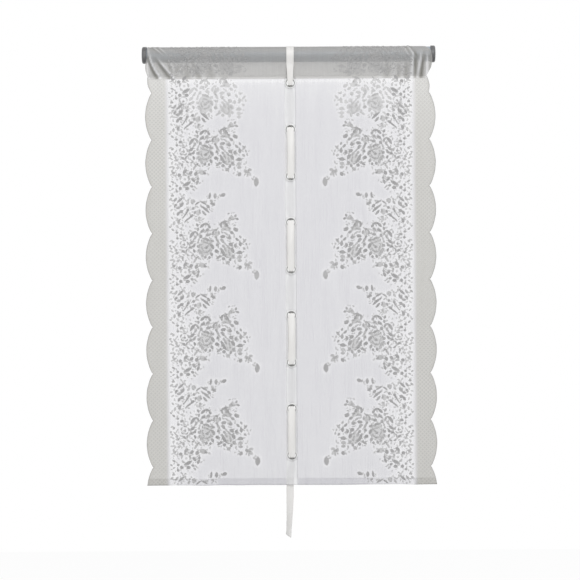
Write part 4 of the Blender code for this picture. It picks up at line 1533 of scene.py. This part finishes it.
def rounded(corners: list[tuple[float, float, float]], steps: int = 4) -> list[tuple[float, float]]:
    """A closed outline with each corner rounded.

    Args:
        corners: Rows of (radius from the axis, height, corner radius), in order.
        steps: Points on each rounded corner.

    Returns:
        The outline, which ends at its first point.
    """
    made = []
    count = len(corners)
    for number, (x, y, soft) in enumerate(corners):
        here = np.array([x, y])
        before = np.array(corners[number - 1][:2]) - here
        after = np.array(corners[(number + 1) % count][:2]) - here
        if soft <= 0:
            made.append((x, y))
            continue
        start = here + before / np.linalg.norm(before) * soft
        end = here + after / np.linalg.norm(after) * soft
        for share in np.linspace(0, 1, steps + 1):
            point = (1 - share) ** 2 * start + 2 * share * (1 - share) * here + share**2 * end
            made.append(tuple(point))
    return made + [made[0]]


@dataclass
class Eyelets:
    """Nine plastic eyelets, each a domed ring in front and a washer behind, with painted shade round the
    bore.
    """

    drops: list[float]
    bore: float = 0.016
    flange: float = 0.024
    front: float = -0.0021
    back: float = -0.0009
    washer_front: float = 0.0011
    washer_back: float = 0.0023
    barrel_back: float = 0.0026
    barrel_wall: float = 0.0012
    # How far past the bore the painted shade reaches.
    lip: float = 0.0034
    sides: int = 48

    def ring_outline(self) -> list[tuple[float, float]]:
        """The front half's section, with height towards the room."""
        bore, rim, barrel = self.bore / 2, self.flange / 2, self.bore / 2 + self.barrel_wall
        return rounded(
            [
                (bore, -self.front - 0.0001, 0.0007),
                ((bore + rim) / 2, -self.front + 0.0003, 0.0006),
                (rim, -self.front - 0.0001, 0.0008),
                (rim, -self.back, 0.0002),
                (barrel, -self.back, 0.0),
                (barrel, -self.barrel_back, 0.0002),
                (bore, -self.barrel_back, 0.0002),
            ]
        )

    def washer_outline(self) -> list[tuple[float, float]]:
        """The back half's section."""
        inner, rim = self.bore / 2 + self.barrel_wall + 0.0004, self.flange / 2
        front, back = -self.washer_front, -self.washer_back
        return rounded(
            [(inner, front, 0.0), (rim, front, 0.0002), (rim, back, 0.0005), (inner, back, 0.0003)]
        )

    def build(self) -> list[bpy.types.Object]:
        """Makes both halves of each eyelet."""
        finish = MouldedPlastic("eyelet_white", (0.80, 0.80, 0.79), (0.88, 0.88, 0.87), 0.28, 900.0).make()
        made = []
        for half, outline in (("front", self.ring_outline()), ("back", self.washer_outline())):
            shape = turned(outline, self.sides)
            # Painted shade: the plastic darkens towards the bore, whose lip lies in shade.
            past_bore = np.hypot(shape[..., 0], shape[..., 1]) - self.bore / 2
            throat = 1 - ease(past_bore, 0.0004, self.lip)
            for number, drop in enumerate(self.drops, 1):
                points = np.stack([shape[..., 0], -shape[..., 2], shape[..., 1] - drop], axis=-1)
                name = f"eyelet_{'ring' if half == 'front' else 'washer'}_{number}"
                piece = woven(name, finish, points, wrap=True, throat=throat)
                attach(piece, "root")
                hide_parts(f"eyelet_{half}_{number}")
                made.append(piece)
        return made


@dataclass
class LiftRibbon:
    """The satin ribbon: sewn behind the header, over the pole, through the eyelets, with a free tail."""

    cloth: Cloth
    eyelets: Eyelets
    width: float = 0.016
    thickness: float = 0.0004
    clear: float = 0.00055
    side_gap: float = 0.001
    dive: float = 0.0054
    front_bow: float = 0.0034
    back_bow: float = 0.0008
    slack: float = 0.0026
    tail: float = 0.110
    tail_shift: float = -0.0045
    tail_swing: float = -0.004
    tail_turn: float = 18.0
    tail_twist: float = 28.0
    end_slant: float = 0.010
    end_up: float = 0.005
    steps: int = 26
    across: int = 14

    def planes(self) -> tuple[float, float]:
        """How far back the ribbon lies in front of the eyelets, and behind them."""
        return self.eyelets.front - self.clear, self.eyelets.barrel_back + self.clear

    def bore_half(self) -> float:
        """Half the ribbon's width where it is bunched to pass an eyelet near its rim."""
        return math.sqrt((self.eyelets.bore / 2 - 0.4 * self.side_gap) ** 2 - self.dive**2)

    def over_header(self) -> list[tuple]:
        """Stations (x, y, z, half width, bow, twist) from the sewn end to the first eyelet."""
        cloth = self.cloth
        off = cloth.thickness / 2 + self.clear
        rows = cloth.section()
        stations = []
        end = rows[-1, 0] - self.end_up
        touch = 0.65 * rows[1, 0]
        for along in np.linspace(end, touch, 34):
            y, z, out_y, out_z = (np.interp(along, rows[:, 0], rows[:, k]) for k in range(1, 5))
            stations.append((0.0, y + out_y * off, z + out_z * off, self.width / 2, 0.0, 0.0))
        start = stations[-1]
        front, _ = self.planes()
        mouth = -self.eyelets.drops[0] - 0.7 * self.dive
        for share in np.linspace(0, 1, 9)[1:]:
            y = start[1] + (front - start[1]) * share
            z = start[2] + (mouth - start[2]) * share
            half = self.width / 2 + (self.bore_half() - self.width / 2) * share
            stations.append((0.0, y, z, half, -0.0012 * math.sin(math.pi * share), 0.0))
        return stations

    def passage(self, drop: float, inward: bool) -> list[tuple]:
        """Stations through one eyelet's bore, close to the rim that the ribbon bends over.

        Args:
            drop: How far down the eyelet lies.
            inward: Whether the ribbon goes from the room's side to the back.

        Returns:
            The stations in order.
        """
        front, back = self.planes()
        sign = -1 if inward else 1
        half = self.bore_half()
        made = []
        for share, up in ((0.10, 0.90), (0.30, 0.98), (0.50, 1.0), (0.72, 1.0), (0.90, 1.04)):
            depth = front + (back - front) * share
            made.append((0.0, depth, -drop + sign * up * self.dive, half, 0.0, 0.0))
        return made if inward else made[::-1]

    def through_eyelets(self) -> list[tuple]:
        """Stations through each eyelet, before and behind the cloth by turns."""
        front, back = self.planes()
        drops = self.eyelets.drops
        low = -self.cloth.drop + self.cloth.hem
        stations = []
        for number, drop in enumerate(drops):
            is_front = number % 2 == 1
            stations += self.passage(drop, not is_front)
            plane = front if is_front else back
            sign = -1 if is_front else 1
            bow = self.front_bow if is_front else self.back_bow
            reach = 0.7 * self.dive if is_front else -1.25 * self.dive
            start = -drop + reach
            end = start - (drops[1] - drops[0]) - 2 * reach
            for step in range(self.steps + 1):
                share = step / self.steps
                z = start + (end - start) * share
                if z < low:
                    break
                swell = math.sin(math.pi * share) ** 2
                fill = math.sin(math.pi * share) ** 0.7 if is_front else swell
                half = self.bore_half() + (self.width / 2 - self.bore_half()) * min(1.0, 2.2 * fill)
                lean = 0.0009 * math.sin(math.pi * share) * (1 if number % 4 == 1 else -0.6)
                depth = plane + sign * self.slack * swell
                stations.append((lean if is_front else 0.0, depth, z, half, sign * bow * fill, 0.0))
        return stations

    def free_tail(self) -> list[tuple]:
        """Stations of the tail below the hem, which swings and twists a little."""
        _, back = self.planes()
        stations = []
        for share in np.linspace(0, 1, 34):
            twist = self.tail_twist * float(ease(share, 0.1, 0.9))
            depth = back + 0.0004 * math.sin(9 * share)
            z = -self.cloth.drop - share * self.tail
            bow = self.back_bow * (1 + 1.6 * share)
            stations.append((self.tail_swing * share**2, depth, z, self.width / 2, bow, twist))
        return stations

    def build(self) -> bpy.types.Object:
        stations = np.array(self.over_header() + self.through_eyelets() + self.free_tail())
        x, y, z, half, bow, twist = (stations[:, k][:, None] for k in range(6))
        leaving = ease(-z, self.eyelets.drops[-1] + 0.012, self.cloth.drop)
        x = x + self.tail_shift * leaving
        twist = twist + self.tail_turn * leaving
        side = np.linspace(-1, 1, self.across + 1)[None, :]
        steps = np.linalg.norm(np.diff(stations[:, :3], axis=0), axis=1)
        along = np.concatenate([[0.0], np.cumsum(steps)])[:, None]
        turn = np.radians(twist)
        swell = bow * (1 - side**2) + 0.00012 * np.sin(along * 260.0 + 2.0 * side)
        end = ease(along, along[-1, 0] - 0.012, along[-1, 0])
        point_x = x + half * side * np.cos(turn) - swell * np.sin(turn)
        point_y = y + half * side * np.sin(turn) + swell * np.cos(turn)
        point_z = z - end * self.end_slant * side / 2
        grid = np.stack([point_x, point_y, point_z], axis=-1)
        edge = ease(np.abs(side), 0.84, 0.93)
        made = woven("satin_ribbon", Satin().make(), grid, across=half * side, up=-along, border=edge)
        solid = made.modifiers.new("satin", "SOLIDIFY")
        solid.thickness = self.thickness
        solid.offset = 0.0
        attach(made, "root")
        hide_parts("lift_ribbon")
        return made


@dataclass
class Pole:
    """The round metal pole and the plastic caps in its ends."""

    diameter: float = 0.032
    wall: float = 0.0012
    length: float = 0.609
    shift: float = -0.003
    cap_diameter: float = 0.036
    cap_thickness: float = 0.010
    cap_edge: float = 0.004
    plug: float = 0.015
    gap: float = 0.0003
    sides: int = 96

    def along_x(self, outline: list[tuple[float, float]], shift: float, flip: bool = False) -> np.ndarray:
        """An outline turned round the pole's axis.

        Args:
            outline: Points of (radius, place along the axis).
            shift: Where the outline's zero lies on X.
            flip: Whether it points towards -X.

        Returns:
            Points as (outline, sides, 3).
        """
        shape = turned(outline, self.sides)
        sign = -1 if flip else 1
        return np.stack([shift + sign * shape[..., 2], sign * shape[..., 0], shape[..., 1]], axis=-1)

    def build(self) -> list[bpy.types.Object]:
        """Makes the tube and its two caps."""
        outer, inner, half = self.diameter / 2, self.diameter / 2 - self.wall, self.length / 2
        rim = 0.0003
        corners = ((inner, half), (outer, half), (outer, -half), (inner, -half))
        tube = rounded([(*corner, rim) for corner in corners], 2)
        piece = woven("pole_tube", DrawnTube().make(), self.along_x(tube, self.shift), wrap=True)
        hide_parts("curtain_pole")
        made = [piece]
        finish = MouldedPlastic("cap_dark", (0.11, 0.11, 0.112), (0.17, 0.17, 0.17), 0.42).make()
        top, edge = self.gap + self.cap_thickness, self.cap_diameter / 2
        plug = inner - self.gap
        outline = rounded(
            [
                (0.00001, top, 0.0),
                (edge, top, self.cap_edge),
                (edge, self.gap, 0.0004),
                (plug, self.gap, 0.0),
                (plug, -self.plug, 0.0008),
                (0.00001, -self.plug, 0.0),
            ],
            6,
        )
        for side in Side:
            end = self.shift + side.value * half
            name = side.name.lower()
            grid = self.along_x(outline, end, side is Side.LEFT)
            cap = woven(f"cap_{name}", finish, grid, wrap=True)
            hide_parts(f"{name}_end_cap")
            made.append(cap)
        for piece in made:
            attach(piece, "root")
        return made


@dataclass
class Studio:
    """A pale floor, soft lamps and the camera in front."""

    view_x: float = -0.0026
    view_z: float = -0.506
    distance: float = 4.0
    frame_width: float = 1.247
    roll: float = 0.3
    floor_z: float = -1.22
    floor_half: float = 1.1
    floor_white: float = 0.95
    world_light: float = 0.5
    aim: tuple[float, float, float] = (0.0, 0.0, -0.4)

    def background(self) -> None:
        """White for what the camera sees past the curtain, and an even soft light on it."""
        recipe = Recipe("studio", world=True)
        lights = (((0.97, 0.98, 1.0, 1.0), self.world_light), ((1.0, 1.0, 1.0, 1.0), 1.0))
        soft, white = (
            recipe.add("ShaderNodeBackground", {"Color": colour, "Strength": strength}).outputs[0]
            for colour, strength in lights
        )
        bpy.context.scene.world = recipe.finish(recipe.mixed(self.looked_at(recipe), soft, white))

    def looked_at(self, recipe: Recipe):
        """The socket that is 1 for a look at a thing, also a mirrored one, and 0 for the light from it."""
        rays = recipe.add("ShaderNodeLightPath").outputs
        mirrored = recipe.larger(rays["Is Glossy Ray"], rays["Is Transmission Ray"])
        return recipe.larger(rays["Is Camera Ray"], mirrored)

    def floor(self) -> bpy.types.Object:
        """The floor, white to the camera but for the object's shadow."""
        recipe = Recipe("studio_floor")
        grain = recipe.noise(recipe.place(), 3.0)
        colour = recipe.blend(grain, (0.90, 0.90, 0.90), (0.93, 0.93, 0.93))
        plain = recipe.add("ShaderNodeBsdfDiffuse", {"Color": colour}).outputs[0]
        glow = recipe.add("ShaderNodeEmission", {"Color": (1.0, 1.0, 1.0, 1.0), "Strength": 1.0}).outputs[0]
        share = recipe.times(self.looked_at(recipe), self.floor_white)
        x, y = np.meshgrid(*2 * [np.linspace(-self.floor_half, self.floor_half, 9)])
        grid = np.stack([x, y, np.full(x.shape, self.floor_z)], axis=-1)
        made = woven("floor", recipe.finish(recipe.mixed(share, plain, glow)), grid)
        return made

    def lamp(self, name: str, place: tuple, energy: float, size: float) -> None:
        """A square soft lamp at place that faces the middle of the curtain."""
        data = bpy.data.lights.new(name, "AREA")
        data.energy = energy
        data.size = size
        made = linked(name, data)
        made.location = place
        x, y, z = np.subtract(self.aim, place)
        made.rotation_euler = (math.atan2(math.hypot(x, y), -z), 0.0, math.atan2(y, x) - math.pi / 2)

    def camera(self) -> None:
        """A long lens straight in front of the curtain's middle."""
        data = bpy.data.cameras.new("front_camera")
        data.sensor_width = 36.0
        data.lens = data.sensor_width * self.distance / self.frame_width
        made = linked("front_camera", data)
        made.location = (self.view_x, -self.distance, self.view_z)
        made.rotation_euler = (math.pi / 2, math.radians(self.roll), 0.0)
        bpy.context.scene.camera = made

    def build(self) -> None:
        """Sets up the whole studio."""
        self.background()
        self.floor()
        self.lamp("key", (0.8, -2.6, 1.4), 54.0, 2.2)
        self.lamp("fill", (-1.8, -2.4, -0.2), 15.0, 1.8)
        self.camera()
        bpy.context.scene.view_settings.view_transform = "Standard"


def main() -> None:
    """Builds the curtain piece by piece, and the studio round it."""
    logging.basicConfig(level=logging.INFO, format="%(message)s")
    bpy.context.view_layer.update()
    cloth = Cloth()
    spray = RoseSpray()
    drops = cloth.eyelet_drops()
    pole = Pole().build()
    LOG.info("pole: %d pieces", len(pole))
    panel = LacePanel(cloth, spray, drops)
    lace = panel.build()
    LOG.info("lace: %d faces", len(lace.data.polygons))
    figures = WovenFigures(cloth, spray).build()
    LOG.info("rose sprays: %d faces", sum(len(piece.data.polygons) for piece in figures))
    tape = CentreTape(cloth)
    strip = tape.build(drops)
    LOG.info("tape: %d faces", len(strip.data.polygons))
    sewing = Sewing(cloth, tape.width / 2).build(panel.rows(), drops)
    LOG.info("sewing: %d pieces", len(sewing))
    panel.flat_size()
    eyelets = Eyelets(drops)
    LOG.info("eyelets: %d pieces", len(eyelets.build()))
    ribbon = LiftRibbon(cloth, eyelets).build()
    LOG.info("ribbon: %d faces", len(ribbon.data.polygons))
    Studio().build()


if __name__ == "__main__":
    main()
